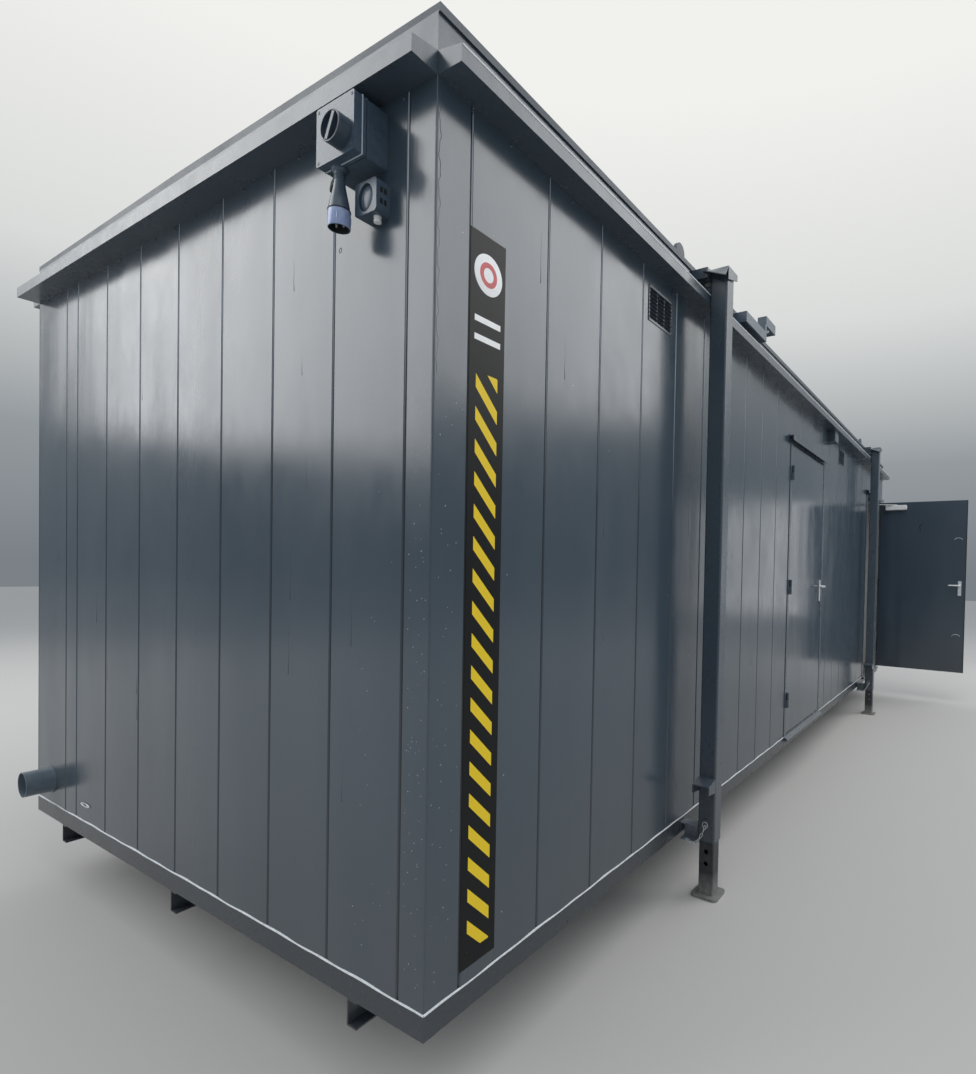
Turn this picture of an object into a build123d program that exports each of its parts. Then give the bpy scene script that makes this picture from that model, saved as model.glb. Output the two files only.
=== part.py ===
from build123d import *
import math
import os

os.makedirs("parts", exist_ok=True)

# All sizes are in millimetres. The cabin is drawn with its front left corner on the Z axis and the ground
# at z = 0: X runs along the front, Y runs to the back. It is moved to its own centre when it is written.

# Overall box of the cabin
cabin_length = 7320
cabin_width = 2640
base_underside = 270
base_rail_height = 70
wall_height = 2312
wall_thickness = 60

# Base frame, joists, runners and floor
rail_flange = 40
rail_sheet = 4
joist_flange = 50
joist_sheet = 3
joist_count = 11
runner_height = 76
runner_flange = 40
runner_sheet = 5
runner_inset = 302
floor_thickness = 21

# Wall panels
groove_width = 12
groove_depth = 6
front_first_groove = 151
front_groove_pitch = 300
front_corner_groove = 120
end_first_groove = 100
end_groove_pitch = 298
end_last_groove = 2306
corner_radius = 5

# Roof
roof_beam_height = 154
roof_beam_flange = 50
eaves_reach = 80
eaves_face = 42
eaves_rise = 16
roof_rise = 10
roof_sheet = 18
roof_lip_reach = 6
roof_lip_depth = 4
tab_width = 80
tab_height = 68
tab_thickness = 16
tab_from_leg = 185

# Doors
leaf_width = 925
leaf_height = 1985
leaf_thickness = 45
leaf_proud = 2
door_clearance = 5
frame_face = 40
frame_proud = 4
stop_width = 14
threshold_height = 15
sill_reach = 25
sill_depth = 24
sill_fall = 8
office_leaf_left = 3207
toilet_from_end = 143
hood_reach = 32
hood_overlap = 90
hood_sheet = 3
hood_height = 12
hood_drop = 30

# Hinges and levers
hinge_radius = 8
hinge_length = 100
hinge_gap = 0.6
hinge_tab = 22
hinge_from_bottom = 180
hinge_from_top = 145
lever_height = 1005
lever_backset = 60
lever_length = 130
lever_width = 20
lever_thickness = 12
lever_stand = 48
lever_neck_radius = 8
lever_neck_clearance = 1
plate_width = 36
plate_height = 170
plate_thickness = 8
plate_above_lever = 52

# Closer on the standing-open door
closer_length = 220
closer_height = 58
closer_depth = 46
closer_edge = 8
closer_from_hinge = 180
closer_below_top = 34
arm_thickness = 6
arm_width = 22
arm_gap = 3
arm_play = 1
arm_length = 232
link_length = 232
pivot_radius = 6
pivot_gap = 0.5
shoe_from_hinge = 400
shoe_width = 40
shoe_depth = 26
shoe_pivot_inset = 6.5
shoe_height = 5

# Jack legs
leg_inset_near = 1560
leg_inset_far = 1370
post_size = 80
post_wall = 5
post_corner = 8
post_below_roof = 16
post_bottom = 252
leg_clearance = 0.3
inner_wall = 5
inner_corner = 6
inner_top = 900
leg_hole_radius = 11
leg_hole_first = 150
leg_hole_pitch = 55
pin_level = 342
pin_head_radius = 14
pin_head_length = 14
foot_size = 125
foot_thickness = 12
foot_corner = 20
outrigger_height = 80
outrigger_flange = 50
outrigger_sheet = 6
outrigger_drop = 20
cap_width = 110
cap_overhang = 10
cap_sheet = 4
cap_wing_reach = 36
cap_wing_drop = 52
cap_wing_back_drop = 8
cap_skirt_deep = 54
cap_skirt_shallow = 22
lug_reach = 74
lug_rise = 16
lug_height = 62
lug_end_height = 38
lug_sheet = 6
lug_level = 527
bracket_width = 60
bracket_lower = 25
bracket_plate_width = 150
bracket_upper = 45

# Fittings on the walls and the roof
vent_width = 200
vent_height = 140
vent_plate = 3
vent_border = 9
vent_columns = 3
vent_rows = 8
vent_mullion = 8
vent_slot = 7
vent_blade_reach = 7
vent_level = 2450
vent_near = 1095
vent_far = 4720
isolator_width = 152
isolator_height = 146
isolator_depth = 100
isolator_lid = 35
isolator_seam = 2
isolator_corner = 6
isolator_from_corner = 180
isolator_level = 2478
knob_from_side = 46
knob_from_bottom = 52
knob_radius = 38
knob_base = 23
knob_depth = 35
knob_rim = 4
knob_grip = 12
knob_angle = 63
inlet_from_side = 100
inlet_from_wall = 68
inlet_length = 153
inlet_flange_radius = 29
inlet_flange = 12
inlet_neck_radius = 15
inlet_neck = 36
inlet_shoulder_radius = 25
inlet_collar_radius = 28
inlet_collar = 44
inlet_bore = 23
inlet_bore_depth = 40
unit_size = 84
unit_depth = 43
unit_corner = 10
unit_dish = 9
unit_dish_width = 56
unit_dish_height = 70
unit_offset = 13
unit_level = 2356
pipe_radius = 55
pipe_wall = 3
pipe_from_back = 165
pipe_level = 447
pipe_reach = 102
pipe_seal_radius = 61
pipe_seal = 5
seat_clearance = 0.3
lamp_start = 2000
lamp_top = 2798
lamp_length = 330
lamp_reach = 80
lamp_height = 53
lamp_foot = 37
lamp_back = 14
sensor_start = 2322
sensor_length = 168
sensor_depth = 50
sensor_height = 52
sensor_lift = 36
sensor_neck = 24
eaves_box_length = 130
eaves_box_height = 90
eaves_box_depth = 60
eaves_box_corner = 8
eaves_box_from_door = 130

# Levels and places that follow from the sizes above
base_top = base_underside + base_rail_height
wall_top = base_top + wall_height
beam_top = wall_top + roof_beam_height
post_top = beam_top - post_below_roof
lip_bottom = beam_top - roof_lip_depth
rail_top = wall_top + eaves_face + eaves_rise
leaf_bottom = base_top + threshold_height + door_clearance
leaf_top = leaf_bottom + leaf_height
frame_head = leaf_top + door_clearance
header_bottom = frame_head + frame_face
toilet_leaf_left = cabin_length - toilet_from_end - leaf_width
inner_size = post_size - 2 * post_wall - 2 * leg_clearance
knob_y = isolator_from_corner + knob_from_side
knob_z = isolator_level + knob_from_bottom
inlet_y = isolator_from_corner + inlet_from_side

upright = (Align.CENTER, Align.CENTER, Align.MIN)
few_sides = 12
round_sides = 24


def block(x0, x1, y0, y1, z0, z1):
    """A plain block between two corners."""
    middle = Pos((x0 + x1) / 2, (y0 + y1) / 2, (z0 + z1) / 2)
    return middle * Box(abs(x1 - x0), abs(y1 - y0), abs(z1 - z0))


def round_bar(radius, length, centre, direction):
    """A cylinder that starts at centre and runs along direction."""
    plane = Plane(origin=centre, z_dir=direction)
    return plane * Cylinder(radius, length, align=upright)


def few_sided_bar(radius, length, centre, direction, sides=few_sides):
    """A bar of few faces along direction, for small round forms and those that repeat."""
    plane = Plane(origin=centre, z_dir=direction)
    return plane * extrude(RegularPolygon(radius, sides), length)


def turned_to_back(shape):
    """The same piece on the back wall, turned half a turn about the cabin's middle."""
    return Pos(cabin_length, cabin_width, 0) * Rot(0, 0, 180) * shape


def along_x(outline, length):
    """An outline of (y, z) points extruded along X from x = 0."""
    return Plane.YZ * extrude(make_face(Polyline(*outline, close=True)), length)


def channel(height, flange, sheet, length):
    """A folded channel along X: its web's outer face on y = 0, its flanges towards -Y."""
    outline = [(0, 0), (0, height), (-flange, height), (-flange, height - sheet),
               (-sheet, height - sheet), (-sheet, sheet), (-flange, sheet), (-flange, 0)]
    return along_x(outline, length)


def square_tube(size, wall, corner, z0, z1):
    """A square hollow section on the Z axis with rounded outer corners."""
    outer = extrude(RectangleRounded(size, size, corner), z1 - z0)
    core = Box(size - 2 * wall, size - 2 * wall, z1 - z0, align=upright)
    return Pos(0, 0, z0) * (outer - core)


def grooved_wall(length, height, grooves):
    """A wall panel with its outer face on y = 0 and shallow V grooves down it."""
    outline = [(0, wall_thickness), (0, 0)]
    for groove in grooves:
        outline.append((groove - groove_width / 2, 0))
        outline.append((groove, groove_depth))
        outline.append((groove + groove_width / 2, 0))
    outline += [(length, 0), (length, wall_thickness)]
    return extrude(make_face(Polyline(*outline, close=True)), height)


def front_grooves(x0, x1):
    """Groove places between two points of a long wall, measured from x0."""
    places = [front_corner_groove]
    count = int(cabin_length / front_groove_pitch)
    places += [front_first_groove + front_groove_pitch * step for step in range(1, count)]
    return [place - x0 for place in places if x0 + groove_width < place < x1 - groove_width]


def front_wall(x0, x1, z0=base_top, z1=wall_top):
    """A stretch of the front wall between x0 and x1."""
    return Pos(x0, 0, z0) * grooved_wall(x1 - x0, z1 - z0, front_grooves(x0, x1))


def end_wall_grooves():
    """Groove places on an end wall, measured from the front corner."""
    count = int((end_last_groove - end_first_groove) / end_groove_pitch) + 1
    places = [end_first_groove + end_groove_pitch * step for step in range(count)]
    return places + [end_last_groove]


def end_wall():
    """The left end wall, between the corner posts."""
    length = cabin_width - 2 * wall_thickness
    back_end = cabin_width - wall_thickness
    places = sorted(back_end - place for place in end_wall_grooves())
    panel = grooved_wall(length, wall_height, places)
    return Pos(0, back_end, base_top) * Rot(0, 0, -90) * panel


def corner_posts():
    """Four folded corner posts, flush with the walls."""
    posts = []
    far_x = cabin_length - wall_thickness
    far_y = cabin_width - wall_thickness
    for x, y in ((0, 0), (far_x, 0), (0, far_y), (far_x, far_y)):
        post = block(x, x + wall_thickness, y, y + wall_thickness, base_top, wall_top)
        corner_x = 0 if x == 0 else cabin_length
        corner_y = 0 if y == 0 else cabin_width
        edge = min(post.edges().filter_by(Axis.Z),
                   key=lambda e: math.hypot(e.center().X - corner_x, e.center().Y - corner_y))
        posts.append(fillet(edge, corner_radius))
    return Compound(posts)


def channel_ring(height, flange, sheet, z0):
    """A ring of channel round the whole cabin, web outwards."""
    ring = block(0, cabin_length, 0, cabin_width, z0, z0 + height)
    ring -= block(sheet, cabin_length - sheet, sheet, cabin_width - sheet, z0 + sheet, z0 + height - sheet)
    return ring - block(flange, cabin_length - flange, flange, cabin_width - flange, z0, z0 + height)


def mitred(ring, reach, z0, z1):
    """Cut a ring at its four corners: the two long rails, then the two short ones."""
    points = [(0, 0), (cabin_length, 0), (cabin_length - reach, reach), (reach, reach)]
    face = make_face(Polyline(*points, close=True))
    wedge = Pos(0, 0, z0) * extrude(face, z1 - z0)
    front = ring & wedge
    back = turned_to_back(front)
    ends = (ring - wedge - turned_to_back(wedge)).solids()
    return Compound([front.solids()[0], back.solids()[0]]), Compound(list(ends))


def floor_joists():
    """Channels across the floor, seated between the side rails' flanges."""
    first = rail_flange + joist_flange
    pitch = (cabin_length - 2 * first - joist_flange) / (joist_count - 1)
    joist = Rot(0, 0, 90) * channel(base_rail_height, joist_flange, joist_sheet,
                                    cabin_width - 2 * rail_flange)
    places = [Pos(first + pitch * step, rail_flange, base_underside) for step in range(joist_count)]
    return Compound([(place * joist).solids()[0] for place in places])


def floor_runners():
    """Three channels along the underside, web towards the back."""
    runner = channel(runner_height, runner_flange, runner_sheet, cabin_length)
    places = [Pos(0, y, base_underside - runner_height)
              for y in (runner_inset, cabin_width / 2, cabin_width - runner_inset)]
    return Compound([(place * runner).solids()[0] for place in places])


def floor_deck():
    """The floor sheet inside the walls."""
    edge = wall_thickness
    return block(edge, cabin_length - edge, edge, cabin_width - edge, base_top, base_top + floor_thickness)


def roof_deck():
    """The roof sheet: a low ridge along its middle, flush at the ends, its lips down over the long beams."""
    near = -roof_lip_reach
    far = cabin_width + roof_lip_reach
    outline = [(0, 0), (0, -roof_lip_depth), (near, -roof_lip_depth), (near, roof_sheet),
               (cabin_width / 2, roof_sheet + roof_rise), (far, roof_sheet), (far, -roof_lip_depth),
               (cabin_width, -roof_lip_depth), (cabin_width, 0)]
    return Pos(0, 0, beam_top) * along_x(outline, cabin_length)


def roof_with_tabs():
    """The roof sheet with its round-topped lifting tabs, welded on at the long edges beside the legs."""
    half = tab_width / 2
    shape = Circle(half) & Rectangle(tab_width, half, align=(Align.CENTER, Align.MIN))
    shape = Pos(0, tab_height - half) * shape
    shape += Rectangle(tab_width, tab_height - half, align=(Align.CENTER, Align.MIN))
    tab = Plane.XZ * extrude(shape, tab_thickness)
    roof = roof_deck()
    for name, x, y, outward in leg_places():
        edge = tab_thickness if outward < 0 else cabin_width
        roof += Pos(x - tab_from_leg, edge, beam_top) * tab
    return roof


def eaves_rail(length):
    """One projecting rail along y = 0, from x = 0, its top sloped to shed water."""
    outline = [(0, 0), (-eaves_reach, 0), (-eaves_reach, eaves_face), (0, eaves_face + eaves_rise)]
    return along_x(outline, length)


def eaves_rails():
    """Four rails round the roof; each stops at the wall corners."""
    front = Pos(0, 0, wall_top) * eaves_rail(cabin_length)
    left = Pos(0, cabin_width, wall_top) * Rot(0, 0, -90) * eaves_rail(cabin_width)
    rails = [front, turned_to_back(front), left, turned_to_back(left)]
    return Compound([rail.solids()[0] for rail in rails])


def door_frame(left):
    """Jambs, head, threshold and sill round a leaf whose left edge is at left."""
    inner_left = left - door_clearance
    inner_right = left + leaf_width + door_clearance
    outer_left = inner_left - frame_face
    outer_right = inner_right + frame_face
    front = -frame_proud
    back = wall_thickness
    frame = block(outer_left, outer_right, front, back, base_top, header_bottom)
    frame -= block(inner_left, inner_right, front, back, base_top + threshold_height, frame_head)
    stop_front = leaf_thickness - leaf_proud + door_clearance
    stops = block(inner_left, inner_right, stop_front, back, base_top + threshold_height, frame_head)
    stops -= block(inner_left + stop_width, inner_right - stop_width, stop_front, back,
                   base_top + threshold_height, frame_head - stop_width)
    outline = [(0, 0), (0, -sill_depth), (-sill_reach, -sill_depth), (-sill_reach, -sill_fall),
               (-frame_proud, 0)]
    sill = along_x(outline, outer_right - outer_left)
    return frame + stops + Pos(outer_left, 0, base_top) * sill


def hinge_side(left, opens_left):
    """The hinge axis: x, y, and the direction from the hinge along the closed leaf."""
    y = -frame_proud - hinge_radius
    if opens_left:
        return left - door_clearance / 2, y, 1
    return left + leaf_width + door_clearance / 2, y, -1


def hinge_levels():
    """Undersides of the three hinges, tied to the leaf's bottom and top."""
    lowest = leaf_bottom + hinge_from_bottom
    highest = leaf_top - hinge_from_top - hinge_length
    return lowest, (lowest + highest) / 2, highest


def hinge_barrels(left, opens_left, part):
    """The barrels of the three hinges: the lower halves for the frame, the upper halves for the leaf."""
    x, y, along = hinge_side(left, opens_left)
    half = hinge_length / 2
    barrels = []
    for level in hinge_levels():
        if part == "frame":
            low, start, back = level, x - along * hinge_tab, y + hinge_radius
        else:
            low, start, back = level + half + hinge_gap, x + along * hinge_tab, -leaf_proud
        barrel = few_sided_bar(hinge_radius, half, (x, y, low), (0, 0, 1))
        barrels.append(barrel + block(x, start, y, back, low, low + half))
    return barrels


def lever_place(left, opens_left):
    """The spindle's x and height on the closed leaf, and the side its handles point to."""
    z = leaf_bottom + lever_height
    if opens_left:
        return left + leaf_width - lever_backset, z, -1
    return left + lever_backset, z, 1


def door_leaf(left, opens_left):
    """A closed steel leaf with its hinge barrels, lock plates and lever hole."""
    front = -leaf_proud
    back = front + leaf_thickness
    leaf = block(left, left + leaf_width, front, back, leaf_bottom, leaf_top)
    x, z, toward = lever_place(left, opens_left)
    low = z + plate_above_lever - plate_height
    leaf += block(x - plate_width / 2, x + plate_width / 2, front - plate_thickness, back + plate_thickness,
                  low, low + plate_height)
    leaf -= round_bar(lever_neck_radius + lever_neck_clearance, leaf_thickness + 2 * plate_thickness,
                      (x, front - plate_thickness, z), (0, 1, 0))
    for barrel in hinge_barrels(left, opens_left, "leaf"):
        leaf += barrel
    return leaf


def door_lever(left, opens_left):
    """The two lever handles on the neck through the leaf, pointing to the hinges."""
    x, z, toward = lever_place(left, opens_left)
    front = -leaf_proud - plate_thickness - lever_stand
    back = leaf_thickness - leaf_proud + plate_thickness + lever_stand
    lever = round_bar(lever_neck_radius, back - front, (x, front, z), (0, 1, 0))
    span = lever_length - lever_width
    grip = Pos(toward * span / 2, 0) * SlotCenterToCenter(span, lever_width)
    for y, inward in ((front, 1), (back, -1)):
        plane = Plane(origin=(x, y, z), x_dir=(1, 0, 0), z_dir=(0, inward, 0))
        lever += plane * extrude(grip, lever_thickness)
    return lever


def door_frame_with_hinges(left, opens_left):
    """A frame with the lower barrels of its hinges welded on."""
    frame = door_frame(left)
    for barrel in hinge_barrels(left, opens_left, "frame"):
        frame += barrel
    return frame


def door_hoods():
    """Folded drip hoods over the two doors."""
    inside = hood_sheet - hood_reach
    outline = [(0, hood_height), (0, 0), (inside, 0), (inside, -hood_drop), (-hood_reach, -hood_drop),
               (-hood_reach, hood_sheet), (-hood_sheet, hood_sheet), (-hood_sheet, hood_height)]
    hoods = []
    for left in (office_leaf_left, toilet_leaf_left):
        x0 = left - hood_overlap
        x1 = min(left + leaf_width + hood_overlap, cabin_length - corner_radius)
        hoods.append(Pos(x0, 0, header_bottom) * along_x(outline, x1 - x0))
    return Compound([hood.solids()[0] for hood in hoods])


def opened(shape):
    """Swing a piece of the toilet door from closed to its rest place, a quarter turn open."""
    x, y, along = hinge_side(toilet_leaf_left, False)
    return Pos(x, y, 0) * Rot(0, 0, 90) * Pos(-x, -y, 0) * shape


def closer_body():
    """The closer's case on the inner face of the closed toilet leaf, near the hinges."""
    x, y, along = hinge_side(toilet_leaf_left, False)
    middle = x - closer_from_hinge
    face = leaf_thickness - leaf_proud
    top = leaf_top - closer_below_top
    case = block(middle - closer_length / 2, middle + closer_length / 2, face, face + closer_depth,
                 top - closer_height, top)
    case = fillet(case.edges().filter_by(Axis.X).group_by(Axis.Y)[-1], closer_edge)
    return case + round_bar(pivot_radius, arm_gap + arm_thickness, (middle, face + closer_depth / 2, top),
                            (0, 0, 1))


def closer_points():
    """Spindle, elbow and shoe of the closer in plan, with the door a quarter turn open."""
    x, y, along = hinge_side(toilet_leaf_left, False)
    depth = leaf_thickness - leaf_proud + closer_depth / 2 - y
    spindle = (x - depth, y - closer_from_hinge)
    shoe = (x - shoe_from_hinge, wall_thickness + shoe_pivot_inset)
    gap = math.dist(spindle, shoe)
    base = math.atan2(shoe[1] - spindle[1], shoe[0] - spindle[0])
    bend = math.acos((arm_length ** 2 + gap ** 2 - link_length ** 2) / (2 * arm_length * gap))
    turn = base - bend
    elbow = (spindle[0] + arm_length * math.cos(turn), spindle[1] + arm_length * math.sin(turn))
    return spindle, elbow, shoe


def closer_shoe():
    """The small plate under the head's stop that the closer's link reaches to."""
    spindle, elbow, shoe = closer_points()
    top = frame_head - stop_width
    back = shoe[1] + shoe_depth / 2
    half = shoe_width / 2
    return block(shoe[0] - half, shoe[0] + half, back - shoe_depth, back, top - shoe_height, top)


def flat_bar(start, end, z):
    """A flat bar between two points in plan, round at both ends."""
    length = math.dist(start, end)
    angle = math.degrees(math.atan2(end[1] - start[1], end[0] - start[0]))
    bar = Pos(length / 2, 0, 0) * extrude(SlotCenterToCenter(length, arm_width), arm_thickness)
    return Pos(start[0], start[1], z) * Rot(0, 0, angle) * bar


def closer_arms():
    """The arm on the closer's spindle, and the link pinned through the arm's far end."""
    spindle, elbow, shoe = closer_points()
    arm_level = leaf_top - closer_below_top + arm_gap
    arm = flat_bar(spindle, elbow, arm_level)
    for point in (spindle, elbow):
        arm -= round_bar(pivot_radius + pivot_gap, arm_thickness, (*point, arm_level), (0, 0, 1))
    link_level = arm_level + arm_thickness + arm_play
    link = flat_bar(elbow, shoe, link_level)
    link += round_bar(pivot_radius, arm_play + arm_thickness, (*elbow, link_level), (0, 0, -1))
    return arm, link


def cap_wing(drop, y):
    """The section of the cap's side wing at y, its tip dropped below the top."""
    half = cap_width / 2
    tip = -half - cap_wing_reach
    points = [(-half, 0), (-half, cap_sheet), (tip, cap_sheet - drop), (tip, -drop)]
    return Pos(0, y, 0) * (Plane.XZ * make_face(Polyline(*points, close=True)))


def leg_cap():
    """The bent sheet cap on a post: a flat top, a twisted side wing bent down in front, a tapered skirt."""
    half = cap_width / 2
    front = -post_size / 2 - cap_overhang
    cap = block(-half, half, front, front + cap_width, 0, cap_sheet)
    cap += loft([cap_wing(cap_wing_drop, front), cap_wing(cap_wing_back_drop, front + cap_width)])
    skirt = make_face(Polyline((-half, 0), (half, 0), (half, -cap_skirt_shallow), (-half, -cap_skirt_deep),
                               close=True))
    return cap + Pos(0, front + cap_sheet, 0) * (Plane.XZ * extrude(skirt, cap_sheet))


def jacking_lug():
    """The hooded lug on a post's side: a top plate that falls outwards between two tapered cheeks."""
    root = -post_size / 2
    tip = root - lug_reach
    half = post_size / 2
    top = [(root, lug_rise), (tip, 0), (tip, -lug_sheet), (root, lug_rise - lug_sheet)]
    lug = Pos(0, half, 0) * (Plane.XZ * extrude(make_face(Polyline(*top, close=True)), post_size))
    cheek = [(root, lug_rise), (tip, 0), (tip, -lug_end_height), (root, lug_rise - lug_height)]
    for side in (-half + lug_sheet, half):
        lug += Pos(0, side, 0) * (Plane.XZ * extrude(make_face(Polyline(*cheek, close=True)), lug_sheet))
    return lug


def roof_brackets():
    """A wide plate and a short lug that tie the post's head to the roof beam."""
    half = bracket_width / 2
    wide = bracket_plate_width / 2
    inner = post_size / 2
    upper_top = lip_bottom - seat_clearance
    upper = block(-wide, wide, inner, inner + eaves_reach, upper_top - bracket_upper, upper_top)
    lower = block(-half, half, inner, inner + eaves_reach, rail_top, rail_top + bracket_lower)
    return upper + lower


def jack_post(x, y, outward):
    """A fixed outer post with its cap, jacking lug, locking pin head and roof brackets."""
    post = square_tube(post_size, post_wall, post_corner, post_bottom, post_top)
    post += Pos(0, 0, post_top) * leg_cap()
    post += Pos(0, 0, lug_level) * jacking_lug()
    post += few_sided_bar(pin_head_radius, pin_head_length, (-post_size / 2, 0, pin_level), (-1, 0, 0))
    post += roof_brackets()
    if outward > 0:
        post = mirror(post, about=Plane.XZ)
    return Pos(x, y, 0) * post


def inner_leg(x, y):
    """A sliding inner leg on its foot plate, with its row of pin holes."""
    leg = square_tube(inner_size, inner_wall, inner_corner, foot_thickness, inner_top)
    for z in (leg_hole_first, leg_hole_first + leg_hole_pitch, pin_level):
        leg -= few_sided_bar(leg_hole_radius, inner_size, (-inner_size / 2, 0, z), (1, 0, 0))
    foot = extrude(RectangleRounded(foot_size, foot_size, foot_corner), foot_thickness)
    return Pos(x, y, 0) * (leg + foot)


def leg_places():
    """Name, centre x, centre y and outward direction of the four legs."""
    front = -eaves_reach - post_size / 2
    back = cabin_width + eaves_reach + post_size / 2
    near = leg_inset_near
    far = cabin_length - leg_inset_far
    return (("front_left", near, front, -1), ("front_right", far, front, -1),
            ("back_left", near, back, 1), ("back_right", far, back, 1))


def leg_outriggers():
    """Short channels that carry the posts from the base rails."""
    piece = Rot(0, 0, -90) * channel(outrigger_height, outrigger_flange, outrigger_sheet, eaves_reach)
    pieces = []
    for name, x, y, outward in leg_places():
        start = 0 if outward < 0 else cabin_width + eaves_reach
        pieces.append(Pos(x, start, base_top - outrigger_drop - outrigger_height) * piece)
    return Compound([piece.solids()[0] for piece in pieces])


def vent(x):
    """A pressed louvre vent on the front wall: slots in three columns, each under a sloping blade."""
    plate = block(0, vent_width, -vent_plate, 0, 0, vent_height)
    column = (vent_width - 2 * vent_border - (vent_columns - 1) * vent_mullion) / vent_columns
    pitch = (vent_height - 2 * vent_border) / vent_rows
    blade = along_x([(0, 0), (-vent_blade_reach, -pitch / 2), (0, -pitch / 2)], column)
    for across in range(vent_columns):
        left = vent_border + across * (column + vent_mullion)
        for up in range(vent_rows):
            low = vent_border + up * pitch
            plate -= block(left, left + column, -vent_plate, 0, low, low + vent_slot)
            plate += Pos(left, -vent_plate, low + pitch) * blade
    return Pos(x, 0, vent_level) * plate


def isolator_box():
    """The isolator enclosure on the left end wall: a body and a lid, with a seam between them."""
    outline = RectangleRounded(isolator_width, isolator_height, isolator_corner)
    inset = Rectangle(isolator_width - 4 * isolator_seam, isolator_height - 4 * isolator_seam)
    body_depth = isolator_depth - isolator_lid - isolator_seam
    box = extrude(outline, body_depth)
    box += Pos(0, 0, body_depth) * extrude(inset, isolator_seam)
    box += Pos(0, 0, body_depth + isolator_seam) * extrude(outline, isolator_lid)
    centre = (0, isolator_from_corner + isolator_width / 2, isolator_level + isolator_height / 2)
    return Plane(origin=centre, x_dir=(0, 1, 0), z_dir=(-1, 0, 0)) * box


def isolator_knob():
    """The round rotary handle: a drum with a rim, recessed on both sides of its grip bar."""
    drum = RegularPolygon(knob_radius, round_sides)
    hollow = RegularPolygon(knob_radius - knob_rim, round_sides)
    hollow -= Rot(0, 0, knob_angle) * Rectangle(2 * knob_radius, knob_grip)
    knob = extrude(drum, knob_depth) - Pos(0, 0, knob_base) * extrude(hollow, knob_depth - knob_base)
    centre = (-isolator_depth - seat_clearance, knob_y, knob_z)
    return Plane(origin=centre, x_dir=(0, 1, 0), z_dir=(-1, 0, 0)) * knob


def power_inlet():
    """The round supply inlet under the isolator: flange, neck, shoulder, collar and socket mouth."""
    shoulder = inlet_length - inlet_collar
    down = (0, 0, -1)
    stages = ((inlet_flange_radius, 0, inlet_flange), (inlet_neck_radius, inlet_flange, inlet_neck),
              (inlet_collar_radius, shoulder, inlet_length))
    x, y, z = -inlet_from_wall, inlet_y, isolator_level
    inlet = loft([Pos(x, y, z - inlet_neck) * RegularPolygon(inlet_neck_radius, round_sides),
                  Pos(x, y, z - shoulder) * RegularPolygon(inlet_shoulder_radius, round_sides)], ruled=True)
    for radius, start, stop in stages:
        inlet += few_sided_bar(radius, stop - start, (x, y, z - start), down, round_sides)
    mouth = (x, y, z - inlet_length + inlet_bore_depth)
    return inlet - few_sided_bar(inlet_bore, inlet_bore_depth, mouth, down, round_sides)


def wall_unit():
    """The small square moulded unit beside the inlet, with a dished oval face."""
    unit = extrude(RectangleRounded(unit_size, unit_size, unit_corner), unit_depth)
    dish = Ellipse(unit_dish_width / 2, unit_dish_height / 2)
    unit -= Pos(0, 0, unit_depth - unit_dish) * extrude(dish, unit_dish)
    y = isolator_from_corner - unit_offset + unit_size / 2
    return Plane(origin=(0, y, unit_level + unit_size / 2), x_dir=(0, 1, 0), z_dir=(-1, 0, 0)) * unit


def waste_pipe():
    """The waste pipe stub through the left end wall, with a seal against the wall's outer face."""
    start = (wall_thickness, cabin_width - pipe_from_back, pipe_level)
    length = pipe_reach + wall_thickness
    pipe = round_bar(pipe_radius, length, start, (-1, 0, 0))
    pipe += round_bar(pipe_seal_radius, pipe_seal, (0, start[1], start[2]), (-1, 0, 0))
    return pipe - round_bar(pipe_radius - pipe_wall, length, start, (-1, 0, 0))


def roof_lamp():
    """The lamp on the roof beam above the eaves, with its sensor head standing at the far end."""
    outline = [(0, 0), (-lamp_reach, 0), (-lamp_reach, -lamp_height), (-lamp_foot, -lamp_height),
               (0, -lamp_back)]
    lamp = along_x(outline, lamp_length)
    start = sensor_start - lamp_start
    outer = -lamp_reach
    neck = block(lamp_length - sensor_neck, lamp_length, outer, outer + sensor_neck, 0, sensor_lift)
    head = block(start, start + sensor_length, outer, outer + sensor_depth,
                 sensor_lift, sensor_lift + sensor_height)
    return Pos(lamp_start, 0, lamp_top) * (lamp + neck + head)


def eaves_box():
    """The small box hung under the eaves beside the office door."""
    start = office_leaf_left + leaf_width + eaves_box_from_door
    box = block(start, start + eaves_box_length, -eaves_box_depth, 0, wall_top - eaves_box_height, wall_top)
    return fillet(box.edges().filter_by(Axis.Z).group_by(Axis.Y)[0], eaves_box_corner)


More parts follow.
